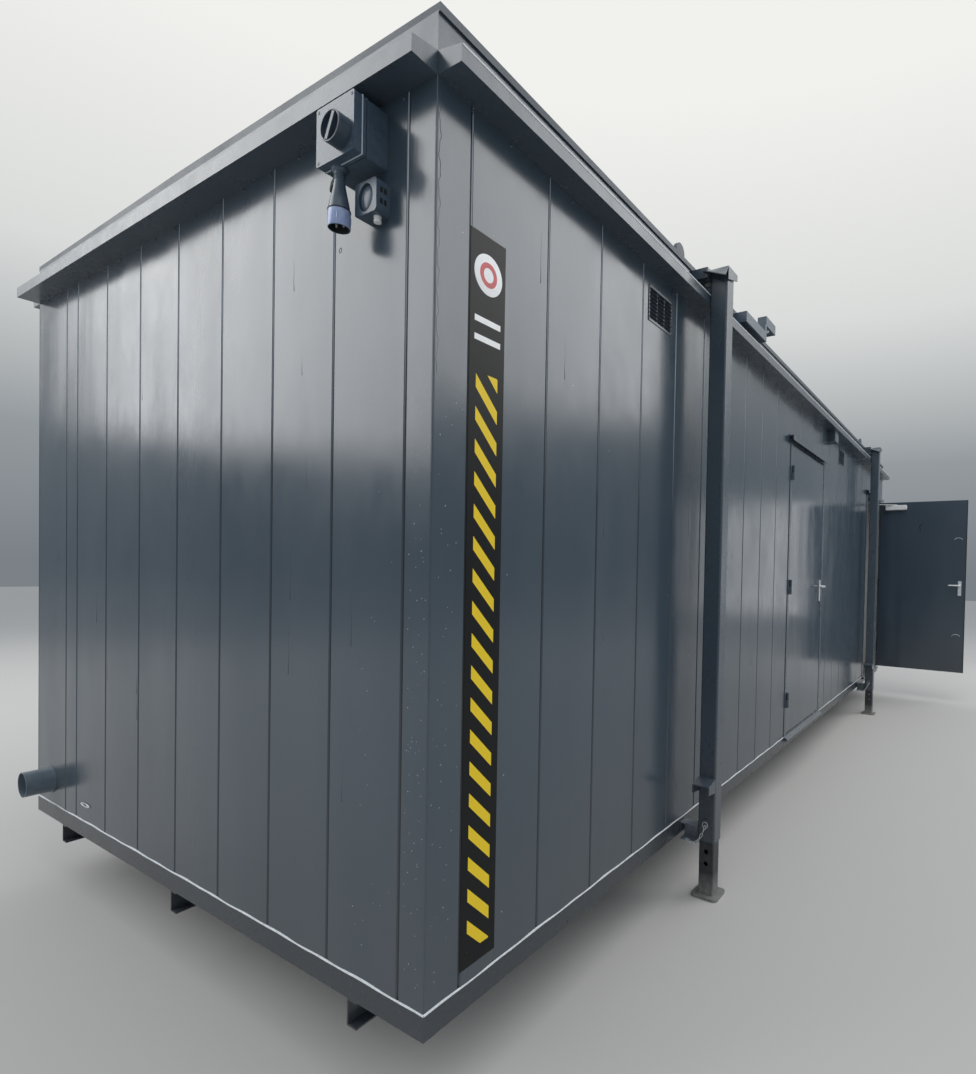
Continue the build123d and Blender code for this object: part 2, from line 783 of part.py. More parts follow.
def build():
    """Every piece of the cabin by name, in the drawing frame."""
    pieces = {}
    base_ring = channel_ring(base_rail_height, rail_flange, rail_sheet, base_underside)
    sides, ends = mitred(base_ring, rail_flange, base_underside, base_top)
    pieces["base_side_rails"] = sides
    pieces["base_end_rails"] = ends
    pieces["floor_joists"] = floor_joists()
    pieces["floor_runners"] = floor_runners()
    pieces["floor_deck"] = floor_deck()
    pieces["leg_outriggers"] = leg_outriggers()

    margin = door_clearance + frame_face
    office_x0 = office_leaf_left - margin
    office_x1 = office_leaf_left + leaf_width + margin
    toilet_x0 = toilet_leaf_left - margin
    toilet_x1 = toilet_leaf_left + leaf_width + margin
    post = wall_thickness
    pieces["corner_posts"] = corner_posts()
    pieces["front_wall_left"] = front_wall(post, office_x0)
    pieces["front_wall_middle"] = front_wall(office_x1, toilet_x0)
    pieces["front_wall_right"] = front_wall(toilet_x1, cabin_length - post)
    pieces["office_door_header"] = front_wall(office_x0, office_x1, header_bottom)
    pieces["toilet_door_header"] = front_wall(toilet_x0, toilet_x1, header_bottom)
    pieces["back_wall"] = turned_to_back(front_wall(post, cabin_length - post))
    left_end = end_wall()
    pieces["right_end_wall"] = turned_to_back(left_end)
    pieces["left_end_wall"] = left_end - round_bar(
        pipe_radius + seat_clearance, wall_thickness,
        (wall_thickness, cabin_width - pipe_from_back, pipe_level), (-1, 0, 0))

    roof_ring = channel_ring(roof_beam_height, roof_beam_flange, rail_sheet, wall_top)
    sides, ends = mitred(roof_ring, roof_beam_flange, wall_top, beam_top)
    pieces["roof_side_beams"] = sides
    pieces["roof_end_beams"] = ends
    pieces["roof_deck"] = roof_with_tabs()
    pieces["eaves_rails"] = eaves_rails()

    pieces["office_door_frame"] = door_frame_with_hinges(office_leaf_left, True)
    pieces["office_door_leaf"] = door_leaf(office_leaf_left, True)
    pieces["office_door_lever"] = door_lever(office_leaf_left, True)
    pieces["toilet_door_frame"] = door_frame_with_hinges(toilet_leaf_left, False) + closer_shoe()
    pieces["toilet_door_leaf"] = opened(door_leaf(toilet_leaf_left, False))
    pieces["toilet_door_lever"] = opened(door_lever(toilet_leaf_left, False))
    pieces["door_hoods"] = door_hoods()
    pieces["closer_body"] = opened(closer_body())
    pieces["closer_arm"], pieces["closer_link"] = closer_arms()

    for name, x, y, outward in leg_places():
        pieces[name + "_leg_post"] = jack_post(x, y, outward)
        pieces[name + "_inner_leg"] = inner_leg(x, y)

    pieces["wall_vents"] = Compound([vent(place).solids()[0] for place in (vent_near, vent_far)])
    pieces["isolator_box"] = isolator_box()
    pieces["isolator_knob"] = isolator_knob()
    pieces["power_inlet"] = power_inlet()
    pieces["wall_unit"] = wall_unit()
    pieces["waste_pipe"] = waste_pipe()
    pieces["roof_lamp"] = roof_lamp()
    pieces["eaves_box"] = eaves_box()
    return pieces


def bottom_centre(pieces):
    """The middle of the whole cabin's footprint."""
    box = Compound(list(pieces.values())).bounding_box()
    return box.center().X, box.center().Y


cabin = build()
centre_x, centre_y = bottom_centre(cabin)
for node, piece in cabin.items():
    export_step(Pos(-centre_x, -centre_y, 0) * piece, f"parts/{node}.step")
print("pieces", len(cabin), "centre", round(centre_x, 3), round(centre_y, 3))
print("closer points", closer_points())
print("office hinge", hinge_side(office_leaf_left, True), "toilet hinge", hinge_side(toilet_leaf_left, False))
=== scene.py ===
# %% [markdown]
# # A portable site cabin
# A steel site cabin on four jack legs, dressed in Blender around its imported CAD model. The steel frame,
# walls, doors, legs and fittings come from the CAD and get their real finishes here. What is too fine for
# the CAD is made in this file: the sealant bead, rivets, screws, seals, chains, the sticker strip and wear.

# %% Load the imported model
import bpy
import bmesh
import math
import random
from mathutils import Matrix, Vector


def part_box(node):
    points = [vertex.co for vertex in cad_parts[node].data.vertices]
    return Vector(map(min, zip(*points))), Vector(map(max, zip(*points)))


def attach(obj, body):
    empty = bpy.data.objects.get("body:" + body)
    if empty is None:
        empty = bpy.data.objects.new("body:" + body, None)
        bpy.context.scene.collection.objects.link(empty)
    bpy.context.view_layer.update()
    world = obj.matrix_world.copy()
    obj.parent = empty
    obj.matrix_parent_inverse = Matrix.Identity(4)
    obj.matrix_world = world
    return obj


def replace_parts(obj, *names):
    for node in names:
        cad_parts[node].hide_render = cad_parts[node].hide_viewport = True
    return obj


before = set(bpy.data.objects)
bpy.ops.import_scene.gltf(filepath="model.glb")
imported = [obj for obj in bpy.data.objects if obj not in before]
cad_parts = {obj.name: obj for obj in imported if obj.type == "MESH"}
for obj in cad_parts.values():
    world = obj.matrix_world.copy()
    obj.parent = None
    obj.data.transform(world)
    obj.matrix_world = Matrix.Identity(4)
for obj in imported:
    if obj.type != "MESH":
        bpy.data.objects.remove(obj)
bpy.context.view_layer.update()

# %% [markdown]
# ## Levels that everything is placed from
# Every place below is read from the CAD nodes' own boxes, so that a bead, screw or seal always sits on the
# piece that carries it, wherever the cabin stands in its frame.

# %% Levels
MM = 0.001
walls_low, walls_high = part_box("corner_posts")
left, front, base_top = walls_low
right, back, wall_top = walls_high
beam_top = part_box("roof_side_beams")[1][2]
print("cabin", round(right - left, 3), "x", round(back - front, 3), "walls", base_top, "to", wall_top)

# %% [markdown]
# ## One helper for nodes
# A shader or geometry tree is a set of nodes with settings and links. One small function adds a node, sets
# what is given on its sockets, and links what comes out of another node, so a material reads as a list.

# %% Node helper and colours
def wire(tree, node, inputs):
    """Set a node's inputs: each is a value, another node's output, or a node that has one live output."""
    for name, value in inputs.items():
        if isinstance(value, bpy.types.Node):
            value = next(socket for socket in value.outputs if socket.enabled)
        if isinstance(value, bpy.types.NodeSocket):
            tree.links.new(value, node.inputs[name])
        else:
            node.inputs[name].default_value = value


def add(tree, kind, inputs=None, **settings):
    made = tree.nodes.new(kind)
    for name, value in settings.items():
        setattr(made, name, value)
    wire(tree, made, inputs or {})
    return made


def surface(name, **constants):
    """A new material with its tree and its shader; an underscore stands for a space in a socket's name."""
    finish = bpy.data.materials.new(name)
    finish.use_nodes = True
    shader = finish.node_tree.nodes["Principled BSDF"]
    wire(finish.node_tree, shader, {socket.replace("_", " "): value for socket, value in constants.items()})
    return finish, finish.node_tree, shader


def srgb(code):
    """Linear colour from an sRGB hex code."""
    channels = [int(code[place:place + 2], 16) / 255 for place in (1, 3, 5)]
    return (*(c / 12.92 if c <= 0.04045 else ((c + 0.055) / 1.055) ** 2.4 for c in channels), 1.0)


def put_in_scene(made):
    """Link an object to the scene, and give it back."""
    bpy.context.scene.collection.objects.link(made)
    return made

# %% [markdown]
# ## The camera
# The photograph is a wide phone picture taken from just off the near corner at about head height. Its place
# and focal length were worked out from the cabin's own edges, so the camera is set from those numbers.

# %% Camera
IMAGE_WIDTH, IMAGE_HEIGHT = 976, 1074
FOCAL_PIXELS = 617.1
OPTICAL_CENTRE = (605.0, 581.8)
CAMERA_LEFT, CAMERA_AHEAD, CAMERA_UP = 1.0603, 1.1663, 1.1209
camera_place = Vector((left - CAMERA_LEFT, front - CAMERA_AHEAD, base_top + CAMERA_UP))
camera_yaw, camera_pitch, camera_roll = 0.5567, -0.0190, 0.0204
forward = Vector((math.cos(camera_yaw) * math.cos(camera_pitch),
                  math.sin(camera_yaw) * math.cos(camera_pitch), math.sin(camera_pitch)))
level = Vector((math.sin(camera_yaw), -math.cos(camera_yaw), 0))
rise = level.cross(forward)
across = level * math.cos(camera_roll) + rise * math.sin(camera_roll)
upward = rise * math.cos(camera_roll) - level * math.sin(camera_roll)
turn = Matrix((across, upward, -forward)).transposed().to_4x4()

lens = bpy.data.cameras.new("photo_camera")
lens.sensor_fit = "HORIZONTAL"
lens.sensor_width = 36.0
lens.lens = lens.sensor_width * FOCAL_PIXELS / IMAGE_WIDTH
lens.shift_x = (IMAGE_WIDTH / 2 - OPTICAL_CENTRE[0]) / IMAGE_WIDTH
lens.shift_y = (OPTICAL_CENTRE[1] - IMAGE_HEIGHT / 2) / IMAGE_WIDTH
camera = put_in_scene(bpy.data.objects.new("photo_camera", lens))
camera.matrix_world = Matrix.Translation(camera_place) @ turn
bpy.context.scene.camera = camera
print("lens", round(lens.lens, 2), "mm")

# %% [markdown]
# ## Floor and studio light
# The cabin stands on a plain pale floor. The light is an overcast sky: a soft dome that is brighter overhead
# than at the horizon, which is what makes gloss paint pale at the top and darker lower down. Four large soft
# boxes stand where a sky would glare, so that the gloss walls mirror them near the eaves, and one low card
# puts a glint on the long wall.

# %% Floor
FLOOR_REACH = 40.0
floor_mesh = bpy.data.meshes.new("studio_floor")
SQUARE = ((-1, -1), (1, -1), (1, 1), (-1, 1))
floor_mesh.from_pydata([(x * FLOOR_REACH, y * FLOOR_REACH, 0) for x, y in SQUARE], [], [(0, 1, 2, 3)])
floor_mesh.materials.append(surface("pale studio floor", Base_Color=srgb("#b9b6b1"), Roughness=0.9)[0])
put_in_scene(bpy.data.objects.new("studio_floor", floor_mesh))

# %% Sky dome and lamps
world = bpy.data.worlds.new("overcast studio")
bpy.context.scene.world = world
world.use_nodes = True
sky = world.node_tree
sky.nodes.clear()
direction = add(sky, "ShaderNodeTexCoord")
split = add(sky, "ShaderNodeSeparateXYZ", {"Vector": direction.outputs["Generated"]})
shades = add(sky, "ShaderNodeValToRGB", {"Fac": split.outputs["Z"]})
shades.color_ramp.elements[0].color = srgb("#7b8187")
shades.color_ramp.elements[1].position = 0.6
shades.color_ramp.elements[1].color = srgb("#f1f1ee")
for place, colour in ((0.16, "#949a9e"), (0.36, "#d9dbda")):
    shades.color_ramp.elements.new(place).color = srgb(colour)
rays = add(sky, "ShaderNodeLightPath")
seen_rays = rays.outputs["Is Camera Ray"]
for kind in ("Is Glossy Ray", "Is Transmission Ray"):
    seen_rays = add(sky, "ShaderNodeMath", {0: seen_rays, 1: rays.outputs[kind]}, operation="MAXIMUM")
light_dome = add(sky, "ShaderNodeBackground", {"Color": srgb("#dae4f0"), "Strength": 0.80})
seen_dome = add(sky, "ShaderNodeBackground", {"Color": shades.outputs["Color"], "Strength": 1.0})
both = add(sky, "ShaderNodeMixShader", {0: seen_rays, 1: light_dome, 2: seen_dome})
add(sky, "ShaderNodeOutputWorld", {"Surface": both})


def soft_lamp(name, place, aim, size, power):
    light = bpy.data.lights.new(name, "AREA")
    light.shape = "SQUARE"
    light.size = size
    light.energy = power
    lamp = put_in_scene(bpy.data.objects.new(name, light))
    lamp.location = place
    lamp.rotation_euler = (Vector(aim) - Vector(place)).to_track_quat("-Z", "Y").to_euler()
    lamp.visible_camera = False


soft_lamp("overhead_softbox", (-2.0, -3.0, 9.5), (0, 0, 1.2), 7.0, 300)
soft_lamp("end_softbox", (-9.2, 7.2, 7.1), (-3.6, 0, 1.6), 8.0, 590)
soft_lamp("front_softbox", (5.6, -7.7, 8.2), (0, 0, 1.6), 7.2, 400)
soft_lamp("back_softbox", (4.0, 9.0, 6.5), (0, 0, 1.4), 6.0, 200)
soft_lamp("low_card", (7.3, -3.8, 1.75), (-1, -1.5, 1.75), 2.2, 15)
bpy.context.scene.view_settings.view_transform = "Standard"

# %% [markdown]
# ## Gloss paint on steel
# The cabin is sprayed and rolled in gloss anthracite enamel. Up close such paint has a fine orange peel of a
# few millimetres, its sheets bow very slightly between the grooves, and dust settles low down. All of these
# are patterns on Object coordinates, in metres, so their scales are real sizes.

# %% Paint maker
LINING_DEPTH = 50 * MM
GROOVE_START, GROOVE_ROOT = 1.2 * MM, 3.2 * MM
# Heights between which the painted groove sides go from shade to sky light
GROOVE_SHADED, GROOVE_LIT = 1.7, 2.3
DUST_TOP, DUST_FULL = 0.95, 0.2
SPECKS_PER_METRE, SPECK_SIZE, SPECKS_LEFT_OUT = 26.0, 0.045, 0.93
MATT = (0.55, 0.55, 0.55, 1)


def place_in(tree):
    """Object coordinates in metres, from one node that a tree's patterns share."""
    place = tree.nodes.get("place") or add(tree, "ShaderNodeTexCoord", name="place")
    return place.outputs["Object"]


def height_in(tree):
    return add(tree, "ShaderNodeSeparateXYZ", {"Vector": place_in(tree)}).outputs["Z"]


def pattern(tree, stretch, scale, detail=3.0, roughness=0.55):
    """Noise on object coordinates; scale is one over the pattern's size in metres."""
    mapped = add(tree, "ShaderNodeMapping", {"Vector": place_in(tree), "Scale": stretch})
    return add(tree, "ShaderNodeTexNoise", {"Vector": mapped, "Scale": scale, "Detail": detail,
                                            "Roughness": roughness}).outputs["Fac"]


def graded(tree, factor, low, high, low_at=0.3, high_at=0.75):
    """From one colour to another between two values of a pattern."""
    ramp = add(tree, "ShaderNodeValToRGB", {"Fac": factor})
    for stop, colour, at in zip(ramp.color_ramp.elements, (low, high), (low_at, high_at)):
        stop.color = colour
        stop.position = at
    return ramp.outputs["Color"]


def grey(value):
    return (value, value, value, 1)


def indoors(tree, inset):
    """One inside the room, nought outside: how far a point is from the cabin's middle line, each way."""
    middle = ((left + right) / 2, (front + back) / 2, 0)
    offset = add(tree, "ShaderNodeVectorMath", {0: place_in(tree), 1: middle}, operation="SUBTRACT")
    away = add(tree, "ShaderNodeVectorMath", {0: offset}, operation="ABSOLUTE")
    away = add(tree, "ShaderNodeSeparateXYZ", {"Vector": away}).outputs
    along, over = (add(tree, "ShaderNodeMath", {0: away[way], 1: half - inset}, operation="LESS_THAN")
                   for way, half in (("X", (right - left) / 2), ("Y", (back - front) / 2)))
    return add(tree, "ShaderNodeMath", {0: along, 1: over}, operation="MULTIPLY")


def lined_wall(tree, seen, gloss, lining):
    """Wall paint with painted shade in the groove roots, groove sides painted dark low down and pale high up
    where the sky would light them, and the room's pale lining.
    """
    lit = add(tree, "ShaderNodeMapRange", {"Value": height_in(tree), "From Min": GROOVE_SHADED,
                                           "From Max": GROOVE_LIT})
    # Painted light and shade: the groove sides are dark below GROOVE_SHADED and pale above GROOVE_LIT
    painted_groove_light = add(tree, "ShaderNodeMix", {"Factor": lit, "A": srgb("#3c444c"), "B": srgb("#a3adb4")},
                data_type="RGBA")
    # Painted shade darkens the groove roots; deeper in is the room's real lining
    layers = ((GROOVE_START, painted_groove_light), (GROOVE_ROOT, srgb("#23292e")), (LINING_DEPTH, srgb(lining)))
    for depth, colour in layers:
        seen = add(tree, "ShaderNodeMix", {"Factor": indoors(tree, depth), "A": seen, "B": colour},
                   data_type="RGBA")
    gloss = add(tree, "ShaderNodeMix", {"Factor": indoors(tree, LINING_DEPTH), "A": gloss, "B": MATT},
                data_type="RGBA")
    return seen, gloss


def gloss_enamel(name, colour, faded, dusty, roughness=0.2, bow=1.0, lining=None, mirror=1.62):
    """Gloss enamel over sheet steel: colour drift, dust low down, specks, orange peel and bowed sheet."""
    finish, tree, shader = surface(name, Roughness=roughness, IOR=mirror)
    painted = graded(tree, pattern(tree, (1, 1, 0.35), 1.3), srgb(colour), srgb(faded))
    low_down = add(tree, "ShaderNodeMapRange", {"Value": height_in(tree), "From Min": DUST_TOP,
                                                "From Max": DUST_FULL, "To Min": 0.0, "To Max": 0.55})
    patchy = pattern(tree, (1, 1, 0.6), 7.0, 6.0, 0.65)
    dust = add(tree, "ShaderNodeMath", {0: low_down, 1: patchy}, operation="MULTIPLY")
    dusted = add(tree, "ShaderNodeMix", {"Factor": dust, "A": painted, "B": srgb(dusty)}, data_type="RGBA")
    specks = add(tree, "ShaderNodeTexVoronoi", {"Vector": place_in(tree), "Scale": SPECKS_PER_METRE,
                                                "Randomness": 1.0}).outputs
    small = add(tree, "ShaderNodeMath", {0: specks["Distance"], 1: SPECK_SIZE}, operation="LESS_THAN")
    chosen = add(tree, "ShaderNodeSeparateColor", {"Color": specks["Color"]}).outputs["Red"]
    few = add(tree, "ShaderNodeMath", {0: chosen, 1: SPECKS_LEFT_OUT}, operation="GREATER_THAN")
    speck = add(tree, "ShaderNodeMath", {0: small, 1: few}, operation="MULTIPLY")
    seen = add(tree, "ShaderNodeMix", {"Factor": speck, "A": dusted, "B": srgb("#aab0b4")}, data_type="RGBA")
    gloss = graded(tree, patchy, grey(roughness * 0.8), grey(roughness * 1.35))
    if lining:
        seen, gloss = lined_wall(tree, seen, gloss, lining)
    normal = {}
    for height, strength, depth in ((pattern(tree, (1, 1, 0.8), 130.0, 2.0), 0.06, 0.0015),
                                    (pattern(tree, (1, 1, 0.12), 28.0, 3.0), 0.10 * bow, 0.003),
                                    (pattern(tree, (1, 1, 0.22), 2.6, 1.0, 0.4), 0.45 * bow, 0.02)):
        normal = {"Normal": add(tree, "ShaderNodeBump", {"Height": height, "Strength": strength,
                                                         "Distance": depth, **normal})}
    wire(tree, shader, {"Base Color": seen, "Roughness": gloss, **normal})
    return finish


wall_enamel = gloss_enamel("gloss anthracite enamel on wall sheet", "#34414c", "#3d4953", "#55524c",
                           lining="#cfcec8")
trim_enamel = gloss_enamel("gloss anthracite enamel on folded trim", "#3b4651", "#455059", "#57534c",
                           roughness=0.27, bow=0.2, mirror=1.56)
frame_enamel = gloss_enamel("gloss anthracite enamel on frame steel", "#2b333b", "#343c44", "#4a453e",
                            roughness=0.26, bow=0.25, mirror=1.5)
door_enamel = gloss_enamel("gloss anthracite enamel on door sheet", "#323f4b", "#3c4853", "#55514b",
                           roughness=0.15, bow=0.6)
print("enamels ready")

# %% [markdown]
# ## The roof sheet
# The sheet is one solid in the CAD. Outside, its top is weathered grey coating with a darker wash where
# water stands, its edges and lifting tabs are the same enamel as the walls, and inside it is the pale
# ceiling. Which of the three a point gets follows from its height and its distance from the cabin's middle.

# %% Roof finish
ROOF_EDGE = 18 * MM
ROOF_TOP, ROOF_UNDERSIDE = beam_top + 10 * MM, beam_top + 1 * MM


def roof_finish():
    finish, tree, shader = surface("coated roof sheet and pale ceiling", Roughness=0.4, IOR=1.5)
    stain = pattern(tree, (1, 1, 1), 1.6, 6.0, 0.62)
    grit = pattern(tree, (1, 1, 1), 240.0, 2.0)
    coating = graded(tree, stain, srgb("#54585b"), srgb("#767a7c"), 0.3, 0.72)
    seen = srgb("#38434d")
    for level, side, inset, colour in ((ROOF_TOP, "GREATER_THAN", ROOF_EDGE, coating),
                                       (ROOF_UNDERSIDE, "LESS_THAN", LINING_DEPTH, srgb("#d6d5d0"))):
        beyond = add(tree, "ShaderNodeMath", {0: height_in(tree), 1: level}, operation=side)
        there = add(tree, "ShaderNodeMath", {0: beyond, 1: indoors(tree, inset)}, operation="MULTIPLY")
        seen = add(tree, "ShaderNodeMix", {"Factor": there, "A": seen, "B": colour}, data_type="RGBA")
    wire(tree, shader, {"Base Color": seen, "Roughness": graded(tree, stain, grey(0.4), grey(0.6), 0.3, 0.7),
                        "Normal": add(tree, "ShaderNodeBump", {"Height": grit, "Strength": 0.3,
                                                               "Distance": 0.001})})
    return finish


roof_enamel = roof_finish()
print("roof finish ready")

# %% [markdown]
# ## Plain finishes for the fittings
# Galvanised steel, satin lever metal, moulded plastics, rubber and sealant each get a short recipe: a colour,
# a sheen and a little grain at its real scale.

# %% Fitting finishes
MUD_TOP = 0.11


def grained(name, colour, worn, roughness, metal=0.0, size=40.0, strength=0.15, mud=None):
    """A mottled finish with fine grain; mud, if given, is the colour that dries on it near the ground."""
    finish, tree, shader = surface(name, Roughness=roughness, Metallic=metal)
    mottle = pattern(tree, (1, 1, 1), size, 5.0, 0.6)
    shown = graded(tree, mottle, srgb(colour), srgb(worn), 0.35)
    if mud:
        near = add(tree, "ShaderNodeMapRange", {"Value": height_in(tree), "From Min": MUD_TOP,
                                                "From Max": 0.0, "To Min": 0.0, "To Max": 2.2})
        caked = add(tree, "ShaderNodeMath", {0: near, 1: mottle}, operation="MULTIPLY", use_clamp=True)
        shown = add(tree, "ShaderNodeMix", {"Factor": caked, "A": shown, "B": srgb(mud)}, data_type="RGBA")
    grain = pattern(tree, (1, 1, 1), size * 12, 2.0)
    bump = add(tree, "ShaderNodeBump", {"Height": grain, "Strength": strength, "Distance": 0.8 * MM})
    wire(tree, shader, {"Base Color": shown, "Normal": bump})
    return finish


zinc = grained("dull galvanised steel", "#8b9092", "#a9adae", 0.5, metal=0.7, size=60.0)
chain_zinc = grained("bright zinc chain", "#b4b9bb", "#d3d7d8", 0.3, metal=0.4, size=90.0)
outrigger_paint = grained("scuffed grey outrigger paint", "#5b656d", "#848c92", 0.35, size=30.0)
leg_steel = grained("weathered leg steel", "#262a2e", "#3c3f41", 0.45, metal=0.1, size=35.0, strength=0.35,
                    mud="#7e7d79")
satin_metal = grained("satin chromed lever", "#d2d5d7", "#e2e4e5", 0.25, metal=0.3, size=90.0, strength=0.05)
white_cover = grained("white painted closer cover", "#dcdddb", "#e8e8e6", 0.35, size=50.0)
sprayed_plastic = grained("oversprayed plastic enclosure", "#42515f", "#4f5d6a", 0.27, size=45.0)
knob_grey = grained("oversprayed knob plastic", "#35414d", "#414d58", 0.3, size=60.0)
inlet_blue = grained("pale blue inlet collar", "#8494bd", "#a3b0cc", 0.25, size=60.0)
pipe_plastic = grained("grey waste pipe plastic", "#59656f", "#68747d", 0.34, size=30.0)
vinyl_floor = grained("grey speckled floor vinyl", "#6c6d6c", "#7d7e7c", 0.45, size=120.0)
rubber = grained("black rubber seal", "#17181a", "#212325", 0.6, size=80.0)
sealant = grained("white grey sealant", "#c8ccce", "#e3e5e5", 0.45, size=55.0, strength=0.3)
diffuser = grained("opal lamp diffuser", "#d9dbd9", "#e6e7e5", 0.4, size=50.0)
# Near-black: the real black of the inlet latch and the flaked paint mark, and painted shade in keyholes,
# screw slots, socket slots and behind the vent louvres
black_and_painted_shade = grained("black parts and painted shade", "#0d0f11", "#15171a", 0.7, size=50.0)

# %% [markdown]
# ## Putting finishes on the CAD pieces
# A CAD node whose shape is right keeps its mesh and only takes a better material.

# %% Finish list
LEGS = {"front_left": -1, "front_right": -1, "back_left": 1, "back_right": 1}
FINISHES = {
    wall_enamel: ["corner_posts", "front_wall_left", "front_wall_middle", "front_wall_right", "back_wall",
                  "left_end_wall", "right_end_wall", "office_door_header", "toilet_door_header"],
    trim_enamel: ["roof_side_beams", "roof_end_beams", "eaves_rails", "door_hoods", "eaves_box", "wall_vents",
                  "office_door_frame", "toilet_door_frame", *(leg + "_leg_post" for leg in LEGS)],
    frame_enamel: ["base_side_rails", "base_end_rails", "floor_runners"],
    door_enamel: ["office_door_leaf", "toilet_door_leaf"],
    roof_enamel: ["roof_deck"],
    zinc: ["floor_joists"],
    outrigger_paint: ["leg_outriggers"],
    leg_steel: [leg + "_inner_leg" for leg in LEGS],
    white_cover: ["closer_body", "closer_arm", "closer_link"],
    sprayed_plastic: ["isolator_box", "wall_unit", "roof_lamp", "isolator_knob", "power_inlet"],
    pipe_plastic: ["waste_pipe"],
    vinyl_floor: ["floor_deck"],
}
for finish, names in FINISHES.items():
    for name in names:
        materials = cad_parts[name].data.materials
        materials.clear()
        materials.append(finish)
print("finished nodes", sum(len(names) for names in FINISHES.values()))

# %% [markdown]
# ## Making pieces
# Each added piece is a mesh drawn in the cabin's own frame. A tube is swept along a path of points; it turns
# smoothly, because each ring is carried along from the ring before it.

# %% Piece makers
ALONG, ACROSS, UP, DOWN = Vector((1, 0, 0)), Vector((0, 1, 0)), Vector((0, 0, 1)), Vector((0, 0, -1))


def angles(count):
    """Evenly spaced angles, once round a circle."""
    return [2 * math.pi * step / count for step in range(count)]


def around(side, over, angle):
    """The direction at an angle from side towards over."""
    return side * math.cos(angle) + over * math.sin(angle)


def smooth_mesh(name, shape, sharp=40):
    """The drawn shape as a mesh, its faces outward and smooth but for edges sharper than the angle."""
    mesh = bpy.data.meshes.new(name)
    bmesh.ops.recalc_face_normals(shape, faces=shape.faces)
    shape.to_mesh(mesh)
    shape.free()
    mesh.polygons.foreach_set("use_smooth", [True] * len(mesh.polygons))
    mesh.set_sharp_from_angle(angle=math.radians(sharp))
    return mesh


def put_on(body, name, mesh):
    """An object of its own for the mesh, which moves with the body."""
    made = put_in_scene(bpy.data.objects.new(name, mesh))
    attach(made, body)
    return made


def keep_piece(name, shape, finish, body="cabin", sharp=40):
    mesh = smooth_mesh(name, shape, sharp)
    mesh.materials.append(finish)
    return put_on(body, name, mesh)


def add_ring_skin(shape, rings, closed=False):
    """Join rings of points with quads; open ends are capped."""
    loops = [[shape.verts.new(point) for point in ring] for ring in rings]
    pairs = list(zip(loops, loops[1:])) + ([(loops[-1], loops[0])] if closed else [])
    for near, far in pairs:
        count = len(near)
        for at in range(count):
            shape.faces.new((near[at], near[(at + 1) % count], far[(at + 1) % count], far[at]))
    if not closed:
        shape.faces.new(loops[0][::-1])
        shape.faces.new(loops[-1])


def add_tube(shape, path, radii, sides=14, closed=False):
    """Sweep a circle along a path; radii is one number or one for each point of the path."""
    path = [Vector(point) for point in path]
    radii = radii if isinstance(radii, (list, tuple)) else [radii] * len(path)
    count = len(path)
    heading = (path[1] - path[-1 if closed else 0]).normalized()
    side = heading.orthogonal().normalized()
    rings = []
    for at, (place, radius) in enumerate(zip(path, radii)):
        ahead = path[(at + 1) % count] if closed or at < count - 1 else place
        behind = path[at - 1] if closed or at > 0 else place
        way = (ahead - behind).normalized()
        side = (side - way * side.dot(way)).normalized()
        over = way.cross(side)
        rings.append([place + around(side, over, angle) * radius for angle in angles(sides)])
    add_ring_skin(shape, rings, closed)


def add_slab(shape, low, high, edge=0.0006):
    """A box with softened edges between two corners."""
    made = bmesh.ops.create_cube(shape, size=1.0)["verts"]
    low, high = Vector(low), Vector(high)
    for vert in made:
        vert.co = Vector(low[i] + (vert.co[i] + 0.5) * (high[i] - low[i]) for i in range(3))
    if edge:
        edges = {line for vert in made for line in vert.link_edges}
        bmesh.ops.bevel(shape, geom=list(edges), offset=edge, segments=2, affect="EDGES")


# %% [markdown]
# ## Sealant along the base
# A hand-run bead of pale sealant closes the joint between the walls and the base rail. Its width wanders,
# so each ring of the sweep gets its own radius from a slow and a quick wave.

# %% Sealant bead
BEAD_RADIUS = 3.1 * MM
BEAD_STEP = 0.03
office_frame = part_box("office_door_frame")
toilet_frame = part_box("toilet_door_frame")


def bead(shape, start, end, phase):
    """One run of sealant; the phase makes it wander in its own way."""
    count = max(2, int((end - start).length / BEAD_STEP))
    path, radii = [], []
    for step in range(count + 1):
        along = (end - start).length * step / count
        wander = math.sin(along * 9.0 + phase) * math.sin(along * 23.0 + 2 * phase)
        quick = math.sin(along * 61.0 + phase) * 0.5 + math.sin(along * 137.0) * 0.3
        path.append(start.lerp(end, step / count) + UP * wander * 2.0 * MM)
        radii.append(BEAD_RADIUS * (1 + 0.22 * wander + 0.16 * quick))
    add_tube(shape, path, radii, sides=8)


BEAD_RUNS = (((left, front), (office_frame[0].x, front), 0.3),
             ((office_frame[1].x, front), (toilet_frame[0].x, front), 1.1),
             ((toilet_frame[1].x, front), (right, front), 2.0),
             ((left, front), (left, back), 2.7),
             ((right, front), (right, back), 3.9),
             ((left, back), (right, back), 5.2))
beads = bmesh.new()
for start, end, phase in BEAD_RUNS:
    bead(beads, Vector((*start, base_top)), Vector((*end, base_top)), phase)
keep_piece("base_sealant", beads, sealant)
print("bead runs", len(BEAD_RUNS))

# %% [markdown]
# ## The sticker strip
# A long strip of black vinyl runs down the wall beside the corner. It is kept plain: a white disc with a red
# ring, two thin white lines, and a column of yellow hazard stripes, printed on a film that ripples a little.

# %% Sticker strip
STRIP_LOW = Vector((left + 0.120, front, base_top + 0.042))
STRIP_HIGH = Vector((left + 0.256, front, base_top + 2.008))
DISC_CENTRE = Vector((left + 0.188, front, base_top + 1.906))
DISC_RADIUS = 0.054
STRIPE_PITCH, YELLOW_SHARE = 0.086, 0.42
STRIPE_COLUMN = 0.084
STRIPES_LOW, STRIPES_HIGH = base_top + 0.085, base_top + 1.64


